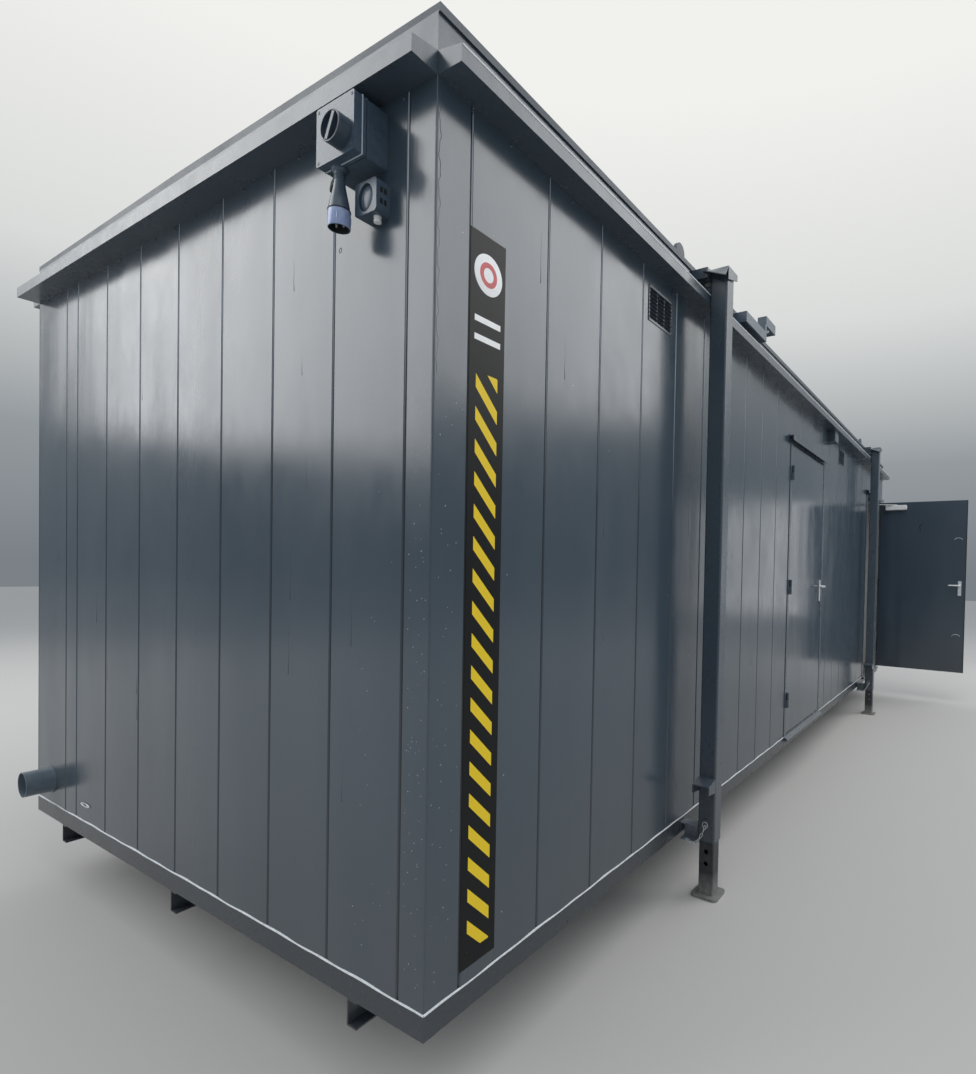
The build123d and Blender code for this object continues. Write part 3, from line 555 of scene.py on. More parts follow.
def vinyl_with_stripes():
    """Black, with yellow where a point is in the column, between its ends, and on a slanted stripe."""
    finish, tree, shader = surface("black vinyl with yellow stripes", Roughness=0.4, Specular_IOR_Level=0.2)
    at = add(tree, "ShaderNodeSeparateXYZ", {"Vector": place_in(tree)}).outputs
    slope = add(tree, "ShaderNodeMath", {0: at["X"], 1: at["Z"]}, operation="ADD")
    bands = add(tree, "ShaderNodeMath", {0: slope, 1: STRIPE_PITCH}, operation="FLOORED_MODULO")
    shown = add(tree, "ShaderNodeMath", {0: bands, 1: STRIPE_PITCH * YELLOW_SHARE}, operation="LESS_THAN")
    for way, middle, half in (
            ("X", (STRIP_LOW.x + STRIP_HIGH.x) / 2, STRIPE_COLUMN / 2),
            ("Z", (STRIPES_LOW + STRIPES_HIGH) / 2, (STRIPES_HIGH - STRIPES_LOW) / 2)):
        within = add(tree, "ShaderNodeMath", {0: at[way], 1: middle, 2: half}, operation="COMPARE")
        shown = add(tree, "ShaderNodeMath", {0: shown, 1: within}, operation="MULTIPLY")
    ink = add(tree, "ShaderNodeMix", {"Factor": shown, "A": srgb("#121314"), "B": srgb("#e6c52a")},
              data_type="RGBA")
    ripple = pattern(tree, (1, 1, 0.4), 9.0, 2.0)
    bump = add(tree, "ShaderNodeBump", {"Height": ripple, "Strength": 0.25, "Distance": 0.004})
    wire(tree, shader, {"Base Color": ink, "Normal": bump})
    return finish


strip = bmesh.new()
add_slab(strip, STRIP_LOW + Vector((0, -0.9 * MM, 0)), STRIP_HIGH + Vector((0, 0.5 * MM, 0)), edge=0.2 * MM)
keep_piece("sticker_strip", strip, vinyl_with_stripes())
disc = bmesh.new()
add_ring_skin(disc, [[DISC_CENTRE + Vector((math.cos(t) * DISC_RADIUS * k, depth * MM,
                                            math.sin(t) * DISC_RADIUS * k)) for t in angles(48)]
                     for k, depth in ((1.0, -0.5), (1.0, -1.2), (0.985, -1.35))])
white_vinyl = grained("white vinyl disc", "#e2e2e0", "#ebebe9", 0.35, size=30.0)
keep_piece("sticker_disc", disc, white_vinyl)


def flat_ring(shape, centre, inner, outer):
    """A flat ring that faces the front, printed just proud of what is under it."""
    rings = []
    for angle in angles(48):
        way = around(ALONG, UP, angle)
        low, high = centre + way * inner, centre + way * outer
        rings.append([low, high, high + PRINT_LIFT, low + PRINT_LIFT])
    add_ring_skin(shape, rings, closed=True)


PRINT_LIFT = Vector((0, -0.25 * MM, 0))
RING_INNER, RING_OUTER = 0.019, 0.033
red_ring = bmesh.new()
flat_ring(red_ring, DISC_CENTRE + Vector((0, -1.3 * MM, 0)), RING_INNER, RING_OUTER)
keep_piece("sticker_ring", red_ring, grained("red vinyl ring", "#b3282c", "#c23438", 0.35, size=30.0))
lines = bmesh.new()
for drop in (0.126, 0.175):
    centre = DISC_CENTRE - Vector((0, 0, drop))
    add_slab(lines, centre + Vector((-0.050, -1.2 * MM, -0.008)), centre + Vector((0.050, -0.6 * MM, 0.008)),
             edge=0.1 * MM)
keep_piece("sticker_lines", lines, white_vinyl)
print("strip", round((STRIP_HIGH - STRIP_LOW).z, 3), "m tall")

# %% [markdown]
# ## Parts along a path
# Rivets and chain links are one small part repeated along a path. One Geometry Nodes group does it: it walks
# a path at a spacing, sets the part at each step along the path's direction, and twists every next one by a
# set angle, which is what makes a chain.

# %% Repeating group
def repeating_group():
    group = bpy.data.node_groups.new("parts along a path", "GeometryNodeTree")
    face = group.interface
    for name, kind in (("Geometry", "Geometry"), ("Part", "Object"), ("Spacing", "Float"), ("Twist", "Float"),
                       ("Jitter", "Float"), ("Seed", "Int"), ("Finish", "Material")):
        face.new_socket(name, in_out="INPUT", socket_type="NodeSocket" + kind)
    face.new_socket("Geometry", in_out="OUTPUT", socket_type="NodeSocketGeometry")
    given = add(group, "NodeGroupInput").outputs
    line = add(group, "GeometryNodeMeshToCurve", {"Mesh": given["Geometry"]})
    even = add(group, "GeometryNodeResampleCurve", {"Curve": line, "Length": given["Spacing"]}, mode="LENGTH")
    part = add(group, "GeometryNodeObjectInfo", {"Object": given["Part"]}).outputs
    heading = add(group, "GeometryNodeInputTangent")
    facing = add(group, "FunctionNodeAlignRotationToVector", {"Vector": heading}, axis="X")
    order = add(group, "GeometryNodeInputIndex")
    twist = add(group, "ShaderNodeMath", {0: order, 1: given["Twist"]}, operation="MULTIPLY")
    loose = add(group, "FunctionNodeRandomValue", {"Max": given["Jitter"], "Seed": given["Seed"]})
    rolled = add(group, "ShaderNodeMath", {0: twist, 1: loose}, operation="ADD")
    roll = add(group, "ShaderNodeCombineXYZ", {"X": rolled})
    turned = add(group, "FunctionNodeRotateRotation", {"Rotation": facing, 1: roll}, rotation_space="LOCAL")
    copies = add(group, "GeometryNodeInstanceOnPoints", {"Points": even, "Instance": part["Geometry"],
                                                         "Rotation": turned})
    solid = add(group, "GeometryNodeRealizeInstances", {"Geometry": copies})
    coated = add(group, "GeometryNodeSetMaterial", {"Geometry": solid, "Material": given["Finish"]})
    add(group, "NodeGroupOutput", {"Geometry": coated})
    return group


REPEAT = repeating_group()


def along(name, paths, part, spacing, finish, twist=0.0, jitter=0.0, seed=1):
    """Run the group over one or more paths and keep the result as a plain mesh."""
    runs = bmesh.new()
    for path in paths:
        points = [runs.verts.new(place) for place in path]
        for near, far in zip(points, points[1:]):
            runs.edges.new((near, far))
    mesh = bpy.data.meshes.new(name + "_path")
    runs.to_mesh(mesh)
    runs.free()
    carrier = put_in_scene(bpy.data.objects.new(name + "_path", mesh))
    modifier = carrier.modifiers.new("repeat", "NODES")
    modifier.node_group = REPEAT
    values = {"Part": part, "Spacing": spacing, "Twist": twist, "Jitter": jitter, "Seed": seed,
              "Finish": finish}
    for socket in REPEAT.interface.items_tree:
        if socket.in_out == "INPUT" and socket.name in values:
            modifier[socket.identifier] = values[socket.name]
    view = bpy.context.evaluated_depsgraph_get()
    result = bpy.data.meshes.new_from_object(carrier.evaluated_get(view))
    bpy.data.objects.remove(carrier)
    result.name = name
    put_on("cabin", name, result)


def pattern_part(name, shape):
    """A part to be repeated, kept out of the scene."""
    return bpy.data.objects.new(name, smooth_mesh(name, shape))


# %% [markdown]
# ## Rivets under the eaves
# The roof beams are riveted to the walls along the top of every wall, about 150 mm apart.

# %% Rivet rows
RIVET_RADIUS, RIVET_HEIGHT = 5.0 * MM, 2.6 * MM
RIVET_PITCH, RIVET_DROP, CORNER_GAP = 0.149, 0.012, 0.12


def rivet_head(name, facing):
    """A domed head, its flat side on the wall that faces the given way."""
    shape, side = bmesh.new(), UP.cross(facing)
    dome = ((1.0, -0.2), (1.0, 0.15), (0.86, 0.62), (0.52, 0.92), (0.18, 1.0))
    add_ring_skin(shape, [[facing * RIVET_HEIGHT * lift + around(side, UP, angle) * RIVET_RADIUS * reach
                           for angle in angles(12)] for reach, lift in dome])
    return pattern_part(name, shape)


# The group turns a part with its path, so a run down the left end faces left and one up the right end faces
# right. Only the back row needs a head of its own.
level = wall_top - RIVET_DROP
first_x, last_x = left + CORNER_GAP, right - CORNER_GAP
first_y, last_y = front + CORNER_GAP, back - CORNER_GAP
turning = [[(first_x, front, level), (last_x, front, level)], [(left, last_y, level), (left, first_y, level)],
           [(right, first_y, level), (right, last_y, level)]]
behind = [[(first_x, back, level), (last_x, back, level)]]
front_head = rivet_head("rivet_head_front", Vector((0, -1, 0)))
back_head = rivet_head("rivet_head_back", Vector((0, 1, 0)))
along("wall_rivets", turning, front_head, RIVET_PITCH, wall_enamel)
along("back_rivets", behind, back_head, RIVET_PITCH, wall_enamel)
print("rivets about", int(2 * (right - left + back - front) / RIVET_PITCH))

# %% [markdown]
# ## Door levers
# The CAD lever is a squared bar that turns in the leaf. The real one is a round satin lever: a neck out of
# the rose, a tight bend, and a grip that thins a little to its end. One is swept for each side of each leaf.

# %% Levers
LEVER_END, LEVER_STAND = 10 * MM, 48 * MM
PLATE_WIDTH, PLATE_RISE, PLATE_DROP = 37 * MM, 52.5 * MM, 118.5 * MM
GRIP_RADIUS, GRIP_TAPER, GRIP_BEND, GRIP_REACH, NECK_INSET = 0.0085, 0.0012, 0.016, 0.112, 0.02
CYLINDER_DROP = 72 * MM


def turned(shape, centre, way, profile, sides=32):
    """Revolve (radius, distance along way) points, both in millimetres, about a line through centre."""
    way = Vector(way).normalized()
    side = way.orthogonal().normalized()
    over = way.cross(side)
    add_ring_skin(shape, [[centre + way * out * MM + around(side, over, angle) * radius * MM
                           for angle in angles(sides)] for radius, out in profile])


def lever_seat(door, along_axis):
    """A lever's box, which way its grip runs, where its spindle is along the leaf, and at what height."""
    low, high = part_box(door + "_door_lever")
    grip_sign = -1 if door == "office" else 1
    spindle = (high if grip_sign < 0 else low)[along_axis] + grip_sign * LEVER_END
    return low, high, grip_sign, spindle, (low.z + high.z) / 2


def lock_plates(door, along_axis):
    """Satin plates over both faces of the lock, each with a rose round the neck and a key cylinder."""
    low, high, _, spindle, level = lever_seat(door, along_axis)
    through = 1 - along_axis
    plates, keyways = bmesh.new(), bmesh.new()
    for side, face in ((-1, low[through] + LEVER_STAND), (1, high[through] - LEVER_STAND)):
        near, far = Vector((0, 0, level - PLATE_DROP)), Vector((0, 0, level + PLATE_RISE))
        near[along_axis], far[along_axis] = spindle - PLATE_WIDTH / 2, spindle + PLATE_WIDTH / 2
        near[through], far[through] = sorted((face + side * 0.8 * MM, face - side * 7.0 * MM))
        add_slab(plates, near, far, edge=1.6 * MM)
        way, centre = Vector((0, 0, 0)), Vector((0, 0, level))
        way[through], centre[along_axis], centre[through] = side, spindle, face
        turned(plates, centre, way, [(14, -1), (14, 2.0), (13, 3.0), (9.5, 3.4)])
        cylinder = centre - UP * CYLINDER_DROP
        turned(plates, cylinder, way, [(8.6, -1), (8.6, 2.4), (7.8, 3.2)])
        # The keyway is a dark disc: painted shade inside the keyhole
        turned(keyways, cylinder + way * 3.2 * MM, way, [(2.2, -0.6), (2.2, 0.15)], 12)
    keep_piece(door + "_lock_plates", plates, satin_metal, door + "_door")
    keep_piece(door + "_lock_plates_keyways", keyways, black_and_painted_shade, door + "_door")


def lever_pair(door, along_axis):
    """Two round levers on one spindle; along_axis is 0 where the grip runs along X, 1 where along Y."""
    low, high, grip_sign, spindle, level = lever_seat(door, along_axis)
    through = 1 - along_axis
    leaf_low, leaf_high = (corner[through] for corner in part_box(door + "_door_leaf"))

    def at(run, out):
        place = Vector((0, 0, level))
        place[along_axis], place[through] = spindle + grip_sign * run, out
        return place

    shape = bmesh.new()
    for side in (-1, 1):
        outer = (low if side < 0 else high)[through] - side * GRIP_RADIUS
        inner = leaf_low + NECK_INSET if side < 0 else leaf_high - NECK_INSET
        path = [at(0, inner), at(0, inner + side * 0.012), at(0, outer - side * GRIP_BEND)]
        radii = [GRIP_RADIUS] * 9
        for step in range(1, 7):
            turn = math.pi / 2 * step / 6
            path.append(at(GRIP_BEND * (1 - math.cos(turn)), outer - side * GRIP_BEND * (1 - math.sin(turn))))
        for step in range(1, 8):
            path.append(at(GRIP_BEND + (GRIP_REACH - GRIP_BEND) * step / 7,
                           outer + side * 0.001 * math.sin(step * 0.45)))
            radii.append(GRIP_RADIUS - GRIP_TAPER * step / 7)
        for step in range(1, 5):
            turn = math.pi / 2 * step / 4
            path.append(at(GRIP_REACH + 0.007 * math.sin(turn), outer))
            radii.append(max(0.0004, 0.0073 * math.cos(turn)))
        add_tube(shape, path, radii, sides=18)
    made = keep_piece(door + "_lever_round", shape, satin_metal, door + "_lever")
    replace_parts(made, door + "_door_lever")


for dress in (lever_pair, lock_plates):
    for door, along_axis in (("office", 0), ("toilet", 1)):
        dress(door, along_axis)
print("levers", 2)

# %% [markdown]
# ## Locking pins and their chains
# Each jack leg is held by a pin through the post and the inner leg. A short galvanised chain ties the pin to
# the outrigger; its links are one welded loop, set along a hanging curve and turned a quarter each time.

# %% Chains and pin rings
LINK_LENGTH, LINK_WIDTH, LINK_WIRE = 24.0 * MM, 13.0 * MM, 1.9 * MM


def loop_points(length, width, steps=6):
    """A stadium in the XY plane, its long way along X."""
    half, radius = (length - width) / 2, width / 2
    ends = []
    for side in (1, -1):
        for step in range(steps + 1):
            turn = -math.pi / 2 + math.pi * step / steps
            ends.append(Vector((side * (half + radius * math.cos(turn)), side * radius * math.sin(turn), 0)))
    return ends


link = bmesh.new()
add_tube(link, loop_points(LINK_LENGTH - 2 * LINK_WIRE, LINK_WIDTH - 2 * LINK_WIRE), LINK_WIRE, 8,
         closed=True)
chain_link = pattern_part("chain_link", link)


def hanging(start, end, sag, steps=14):
    """Points of a slack line between two ends, lowest by the sag in the middle."""
    return [start.lerp(end, k / steps) + Vector((0, 0, -sag * 4 * (k / steps) * (1 - k / steps)))
            for k in range(steps + 1)]


OUTRIGGER_FLANGE, POST_HALF, PIN_STAND = 50 * MM, 0.040, 0.010
RING_RADIUS, RING_DROP, CHAIN_SAG = 0.013, 0.006, 0.035
outrigger_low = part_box("leg_outriggers")[0].z
chain_runs, pin_rings = [], bmesh.new()
for leg, outward in LEGS.items():
    foot_low, foot_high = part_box(leg + "_inner_leg")
    leg_x, leg_y = (foot_low.x + foot_high.x) / 2, (foot_low.y + foot_high.y) / 2
    wall_y = front if outward < 0 else back
    pin = Vector((leg_x - POST_HALF - PIN_STAND, leg_y, base_top - 0.002))
    hook = Vector((leg_x - OUTRIGGER_FLANGE - 0.004, wall_y + outward * 0.040, outrigger_low + 0.006))
    chain_runs.append(hanging(pin + Vector((-0.006, 0, -0.016)), hook, CHAIN_SAG))
    ring = [pin + Vector((-0.004, math.sin(t) * RING_RADIUS, math.cos(t) * RING_RADIUS - RING_DROP))
            for t in angles(20)]
    add_tube(pin_rings, ring, 1.6 * MM, 8, closed=True)
along("pin_chains", chain_runs, chain_link, (LINK_LENGTH - 2.4 * LINK_WIRE) * 0.98, chain_zinc,
      twist=math.pi / 2, jitter=0.3, seed=4)
keep_piece("pin_split_rings", pin_rings, chain_zinc)
print("chains", len(chain_runs))

# %% [markdown]
# ## Supply isolator, inlet and wall unit
# The rotary isolator is a moulded box with four lid screws and a knock-out in its side. Its handle is a drum
# with a thin rim and a grip bar across it. The inlet under it has a moulded body and a pale blue collar, and
# the small square unit beside it has two pairs of slots in its side. The CAD gives their sizes; the round
# ones are turned again here with softened edges, so that they catch the light as moulded plastic does.

# %% Isolator handle
box_low, box_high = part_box("isolator_box")
knob_low, knob_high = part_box("isolator_knob")
knob_back = Vector((knob_high.x, (knob_low.y + knob_high.y) / 2, (knob_low.z + knob_high.z) / 2))
KNOB_RADIUS = 38.0
KNOB_DEPTH = (knob_high.x - knob_low.x) / MM
outwards = Vector((-1, 0, 0))

handle = bmesh.new()
turned(handle, knob_back, outwards, [
    (24, 0), (KNOB_RADIUS, 0), (KNOB_RADIUS, KNOB_DEPTH - 1.6), (KNOB_RADIUS - 0.7, KNOB_DEPTH - 0.4),
    (KNOB_RADIUS - 1.8, KNOB_DEPTH), (KNOB_RADIUS - 3.2, KNOB_DEPTH), (KNOB_RADIUS - 4, KNOB_DEPTH - 0.8),
    (KNOB_RADIUS - 4.4, KNOB_DEPTH - 11.4), (KNOB_RADIUS - 6, KNOB_DEPTH - 12.2), (3, KNOB_DEPTH - 12.4)], 48)
grip = Vector((0, -0.454, 0.891))
over = outwards.cross(grip)
bar = ((33, 6, KNOB_DEPTH - 13), (33, 6, KNOB_DEPTH - 1.4), (32.2, 5.2, KNOB_DEPTH - 0.3))
add_ring_skin(handle, [[knob_back + outwards * out * MM + grip * a * long * MM + over * b * wide * MM
                        for a, b in SQUARE] for long, wide, out in bar])
rotary = keep_piece("isolator_handle", handle, knob_grey, "isolator_knob", sharp=30)
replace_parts(rotary, "isolator_knob")
print("handle", round(2 * KNOB_RADIUS), "mm across")

# %% Isolator screws and marks
SCREW_INSET = 9 * MM
screws, marks = bmesh.new(), bmesh.new()
for y in (box_low.y + SCREW_INSET, box_high.y - SCREW_INSET):
    for z in (box_low.z + SCREW_INSET, box_high.z - SCREW_INSET):
        head = Vector((box_low.x, y, z))
        turned(screws, head, outwards, [(4.4, -0.3), (4.4, 0.5), (3.8, 1.0)], 16)
        # A small dark disc in each head is painted shade in the screw's recess
        turned(marks, head + outwards * 1.0 * MM, outwards, [(1.6, -0.3), (1.6, 0.12)], 6)
keep_piece("isolator_lid_screws", screws, sprayed_plastic)
keep_piece("isolator_screw_slots", marks, black_and_painted_shade)


def loop_on(shape, centre, a, b, radius_a, radius_b, wire, tilt=0.0):
    """A thin raised loop about centre, in the plane of the directions a and b."""
    path = []
    for t in angles(28):
        u, v = radius_a * math.cos(t), radius_b * math.sin(t)
        path.append(centre + a * (u * math.cos(tilt) - v * math.sin(tilt))
                    + b * (u * math.sin(tilt) + v * math.cos(tilt)))
    add_tube(shape, path, wire, 6, closed=True)


MARK_ORBIT, RAISED = 47 * MM, Vector((0.2 * MM, 0, 0))
raised = bmesh.new()
for turn_at in (math.radians(50), math.radians(230)):
    centre = knob_back + around(ACROSS, UP, turn_at) * MARK_ORBIT
    loop_on(raised, centre - RAISED, ACROSS, UP, 8 * MM, 5 * MM, 0.7 * MM, turn_at)
knock_out = Vector((box_low.x + 66 * MM, box_low.y - 0.1 * MM, (box_low.z + box_high.z) / 2))
for radius, wire_radius in ((13 * MM, 0.7 * MM), (9.5 * MM, 0.6 * MM)):
    loop_on(raised, knock_out, ALONG, UP, radius, radius, wire_radius)
keep_piece("isolator_moulded_marks", raised, sprayed_plastic)
# Pale slabs over the lid seam on both sides and underneath: a painted highlight where the seam's lip catches
# the light
lid_seam_highlight = bmesh.new()
LID_DEPTH, LIP = 24 * MM, 1.7 * MM
for low, high in (((box_low.y - 0.7 * MM, box_low.z), (box_low.y + 1 * MM, box_high.z)),
                  ((box_high.y - 1 * MM, box_low.z), (box_high.y + 0.7 * MM, box_high.z)),
                  ((box_low.y, box_low.z - 0.7 * MM), (box_high.y, box_low.z + 1 * MM))):
    add_slab(lid_seam_highlight, (box_low.x + LID_DEPTH - LIP, *low), (box_low.x + LID_DEPTH + LIP, *high),
             edge=0.3 * MM)
keep_piece("isolator_lid_edge", lid_seam_highlight, grained("painted highlight on lid seam", "#b3bdc5", "#c6cfd6", 0.3))
SCUFF_IN, SCUFF_UP = 0.372, 1.984
scuff = bmesh.new()
scuff_at = Vector((left - 0.2 * MM, front + SCUFF_IN, base_top + SCUFF_UP))
loop_on(scuff, scuff_at, ACROSS, UP, 5 * MM, 7 * MM, 0.7 * MM, 0.5)
keep_piece("end_wall_scuff", scuff, leg_steel)
print("lid screws", 4)

# %% Inlet
inlet_low, inlet_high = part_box("power_inlet")
inlet_top = Vector(((inlet_low.x + inlet_high.x) / 2, (inlet_low.y + inlet_high.y) / 2, inlet_high.z))
INLET_BODY = [(16, 0), (20, 0), (20, 6), (18, 9), (14.4, 11), (13.6, 16), (13.8, 34), (15.5, 48), (19.5, 68),
              (23.6, 86), (26.2, 102), (26.8, 104), (27.2, 107), (27.2, 110), (25, 111)]
COLLAR = [(24, 109), (27.2, 109), (28, 110.5), (28, 150.5), (27.4, 152.2), (26.4, 152.6), (25.6, 150),
          (25.4, 112), (24, 111)]
SLEEVE = [(22.5, 114), (25.2, 114.2), (25.3, 151), (25, 152.8), (24, 152.5), (23.2, 150), (23.1, 121),
          (22.6, 119)]
LATCH = [(13, 22), (24, 31), (29, 47), (27, 55), (20, 43), (13, 38)]


def round_piece(name, profile, finish, sides):
    """One turned part of the inlet, about the line down its middle."""
    shape = bmesh.new()
    turned(shape, inlet_top, DOWN, profile, sides)
    keep_piece(name, shape, finish)


body = bmesh.new()
turned(body, inlet_top, DOWN, INLET_BODY, 40)
for rib in range(3):
    place = inlet_top + DOWN * (20 + 5 * rib) * MM
    loop_on(body, place, ALONG, ACROSS, 13.9 * MM, 13.9 * MM, 1.0 * MM)
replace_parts(keep_piece("inlet_body", body, sprayed_plastic), "power_inlet")
hook = bmesh.new()
add_ring_skin(hook, [[inlet_top + Vector((x * MM, y * MM, -z * MM)) for y, z in LATCH] for x in (-9, 9)])
keep_piece("inlet_latch", hook, black_and_painted_shade)
round_piece("inlet_seal_ring", [(26.5, 106.4), (28.7, 107.0), (28.7, 109.8), (26.5, 110.4)], rubber, 40)
round_piece("inlet_sleeve", SLEEVE, rubber, 48)
collar = bmesh.new()
turned(collar, inlet_top, DOWN, COLLAR, 48)
for degrees in (45, 135, 225, 315):
    nub = inlet_top + DOWN * 131 * MM + around(ALONG, ACROSS, math.radians(degrees)) * 27.4 * MM
    add_slab(collar, nub - Vector((1.6, 1.6, 9)) * MM, nub + Vector((1.6, 1.6, 9)) * MM, edge=0.5 * MM)
keep_piece("inlet_collar", collar, inlet_blue)
contacts = bmesh.new()
for degrees in (90, 210, 330):
    pin = inlet_top + around(ALONG, ACROSS, math.radians(degrees)) * 11 * MM
    turned(contacts, pin, DOWN, [(2.6, 121), (2.6, 143), (1.8, 145)], 14)
keep_piece("inlet_contact_pins", contacts, satin_metal)
print("inlet", 3, "contacts")

# %% Wall unit
unit_low, unit_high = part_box("wall_unit")
unit_size = unit_high.z - unit_low.z
SLOT_GAP, SLOT_HALF, SLOT_TALL = 6 * MM, 4 * MM, 7 * MM
# The slots are dark slabs just proud of the side: painted shade of their openings
sockets = bmesh.new()
for share in (0.34, 0.68):
    z = unit_low.z + unit_size * share
    middle = (unit_low.x + unit_high.x) / 2
    for offset in (-SLOT_GAP, SLOT_GAP):
        add_slab(sockets, (middle + offset - SLOT_HALF, unit_low.y - 0.5 * MM, z - SLOT_TALL),
                 (middle + offset + SLOT_HALF, unit_low.y + 1 * MM, z + SLOT_TALL), edge=0.3 * MM)
keep_piece("wall_unit_sockets", sockets, black_and_painted_shade)
glands = bmesh.new()
gland_top = Vector((unit_high.x - 18 * MM, unit_low.y + 26 * MM, unit_low.z))
turned(glands, gland_top, DOWN, [(10, -1), (10, 3), (8, 4), (8, 8), (9.6, 9), (9.6, 15), (5, 16.5)], 20)
keep_piece("wall_unit_gland", glands, white_cover)
bulges = bmesh.new()
bulge_centre = Vector((unit_low.x + 9 * MM, (unit_low.y + unit_high.y) / 2, (unit_low.z + unit_high.z) / 2))
for vert in bmesh.ops.create_uvsphere(bulges, u_segments=24, v_segments=14, radius=1.0)["verts"]:
    vert.co = bulge_centre + Vector((vert.co.x * 9 * MM, vert.co.y * 27.6 * MM, vert.co.z * 34.6 * MM))
keep_piece("wall_unit_bulge", bulges, sprayed_plastic)
print("wall unit", round(unit_size, 3), "m")

# %% [markdown]
# ## Vents, lamp and closer
# A dark sheet behind the louvres is painted shade, so that a vent reads dark. The lamp on the roof edge has a
# smoked lens below and a sensor window. The closer on the open door has a cover with rounded end caps and two
# adjusting screws.

# %% Vents
vents_low, vents_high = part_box("wall_vents")
VENT_WIDTH, VENT_BORDER, VENT_SCREW = 0.200, 7 * MM, 4 * MM
painted_shade_sheet, vent_screws = bmesh.new(), bmesh.new()
# A dark sheet inside each vent's border is painted shade behind the louvres
for x in (vents_low.x, vents_high.x - VENT_WIDTH):
    add_slab(painted_shade_sheet, (x + VENT_BORDER, front - 0.7 * MM, vents_low.z + VENT_BORDER),
             (x + VENT_WIDTH - VENT_BORDER, front + 0.3 * MM, vents_high.z - VENT_BORDER), edge=0)
    for across in (VENT_SCREW, VENT_WIDTH - VENT_SCREW):
        for rise in (VENT_SCREW, vents_high.z - vents_low.z - VENT_SCREW):
            place = Vector((x + across, vents_high.y - 3 * MM, vents_low.z + rise))
            turned(vent_screws, place, (0, -1, 0), [(3, -0.3), (3, 0.6), (2.2, 1.2)], 12)
keep_piece("vent_insect_mesh", painted_shade_sheet, black_and_painted_shade)
keep_piece("vent_screws", vent_screws, trim_enamel)

# %% Lamp lens and sensor window
lamp_low, lamp_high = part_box("roof_lamp")
LAMP_LENGTH, LAMP_FOOT, LAMP_RIM = 0.330, 37 * MM, 12 * MM
lens = bmesh.new()
add_slab(lens, (lamp_low.x + LAMP_RIM, lamp_low.y + 6 * MM, lamp_low.z - 2.5 * MM),
         (lamp_low.x + LAMP_LENGTH - LAMP_RIM, lamp_low.y + LAMP_FOOT, lamp_low.z + 1 * MM), edge=1.2 * MM)
keep_piece("lamp_smoked_lens", lens, knob_grey)
window = bmesh.new()
sensor = Vector((lamp_high.x - 84 * MM, lamp_low.y + 25 * MM, lamp_high.z - 52 * MM))
turned(window, sensor, DOWN, [(15, -1), (15, 2), (12, 7), (6, 10), (2, 10.6)], 24)
keep_piece("lamp_sensor_window", window, diffuser)

# %% Closer cover
cover_low, cover_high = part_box("closer_body")
cover, valves = bmesh.new(), bmesh.new()
for y in (cover_low.y, cover_high.y):
    add_slab(cover, (cover_low.x - 0.8 * MM, y - 8 * MM, cover_low.z - 0.8 * MM),
             (cover_high.x, y + 8 * MM, cover_high.z - 8.2 * MM), edge=6.5 * MM)
for offset in (-16 * MM, 16 * MM):
    place = Vector((cover_low.x, (cover_low.y + cover_high.y) / 2 + offset, cover_low.z + 20 * MM))
    turned(valves, place, outwards, [(4, -0.4), (4, 0.6), (3, 1.0)], 14)
keep_piece("closer_end_caps", cover, white_cover, "toilet_door")
keep_piece("closer_valves", valves, satin_metal, "toilet_door")
print("closer dressed")

# %% [markdown]
# ## Door edges, seals and thresholds
# A black rubber band runs round the free edges of each leaf, and a bulb seal round each frame's stop. Under
# each door a folded metal strip sheds water over the sill. Guards for two bolts stand on the open leaf.

# %% Edge bands
BAND, BAND_INSET, BAND_END = 1.8 * MM, 3 * MM, 1 * MM
LEAF_WIDTH, LEAF_DEPTH = 0.925, 45 * MM
toilet_low, toilet_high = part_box("toilet_door_leaf")
office_low, office_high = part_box("office_door_leaf")
office_face, office_left = front - 2 * MM, office_high.x - LEAF_WIDTH
leaf_face, hinge_edge = cover_high.x, toilet_low.y + LEAF_WIDTH
bands = bmesh.new()
near, far = office_face + BAND_INSET, office_face + LEAF_DEPTH - BAND_INSET
for x in (office_left - BAND, office_high.x):
    add_slab(bands, (x, near, office_low.z + BAND_END), (x + BAND, far, office_high.z - BAND_END),
             edge=0.4 * MM)
add_slab(bands, (office_left, near, office_high.z), (office_high.x, far, office_high.z + BAND), edge=0.4 * MM)
keep_piece("office_door_edge_bands", bands, rubber, "office_door")
bands = bmesh.new()
near, far = leaf_face + BAND_INSET, leaf_face + LEAF_DEPTH - BAND_INSET
foot, head = toilet_low.z + BAND_END, toilet_high.z - BAND_END
add_slab(bands, (near, hinge_edge, foot), (far, hinge_edge + BAND, head), edge=0.4 * MM)
for y in (toilet_low.y + 0.4 * MM, hinge_edge - 9 * MM):
    add_slab(bands, (leaf_face - 0.8 * MM, y, foot), (leaf_face + 0.6 * MM, y + 8.6 * MM, head),
             edge=0.3 * MM)
add_slab(bands, (near, toilet_low.y, toilet_high.z), (far, hinge_edge, toilet_high.z + BAND), edge=0.4 * MM)
keep_piece("toilet_door_edge_bands", bands, rubber, "toilet_door")
print("leaf", round(toilet_high.z - toilet_low.z, 3), "m tall")

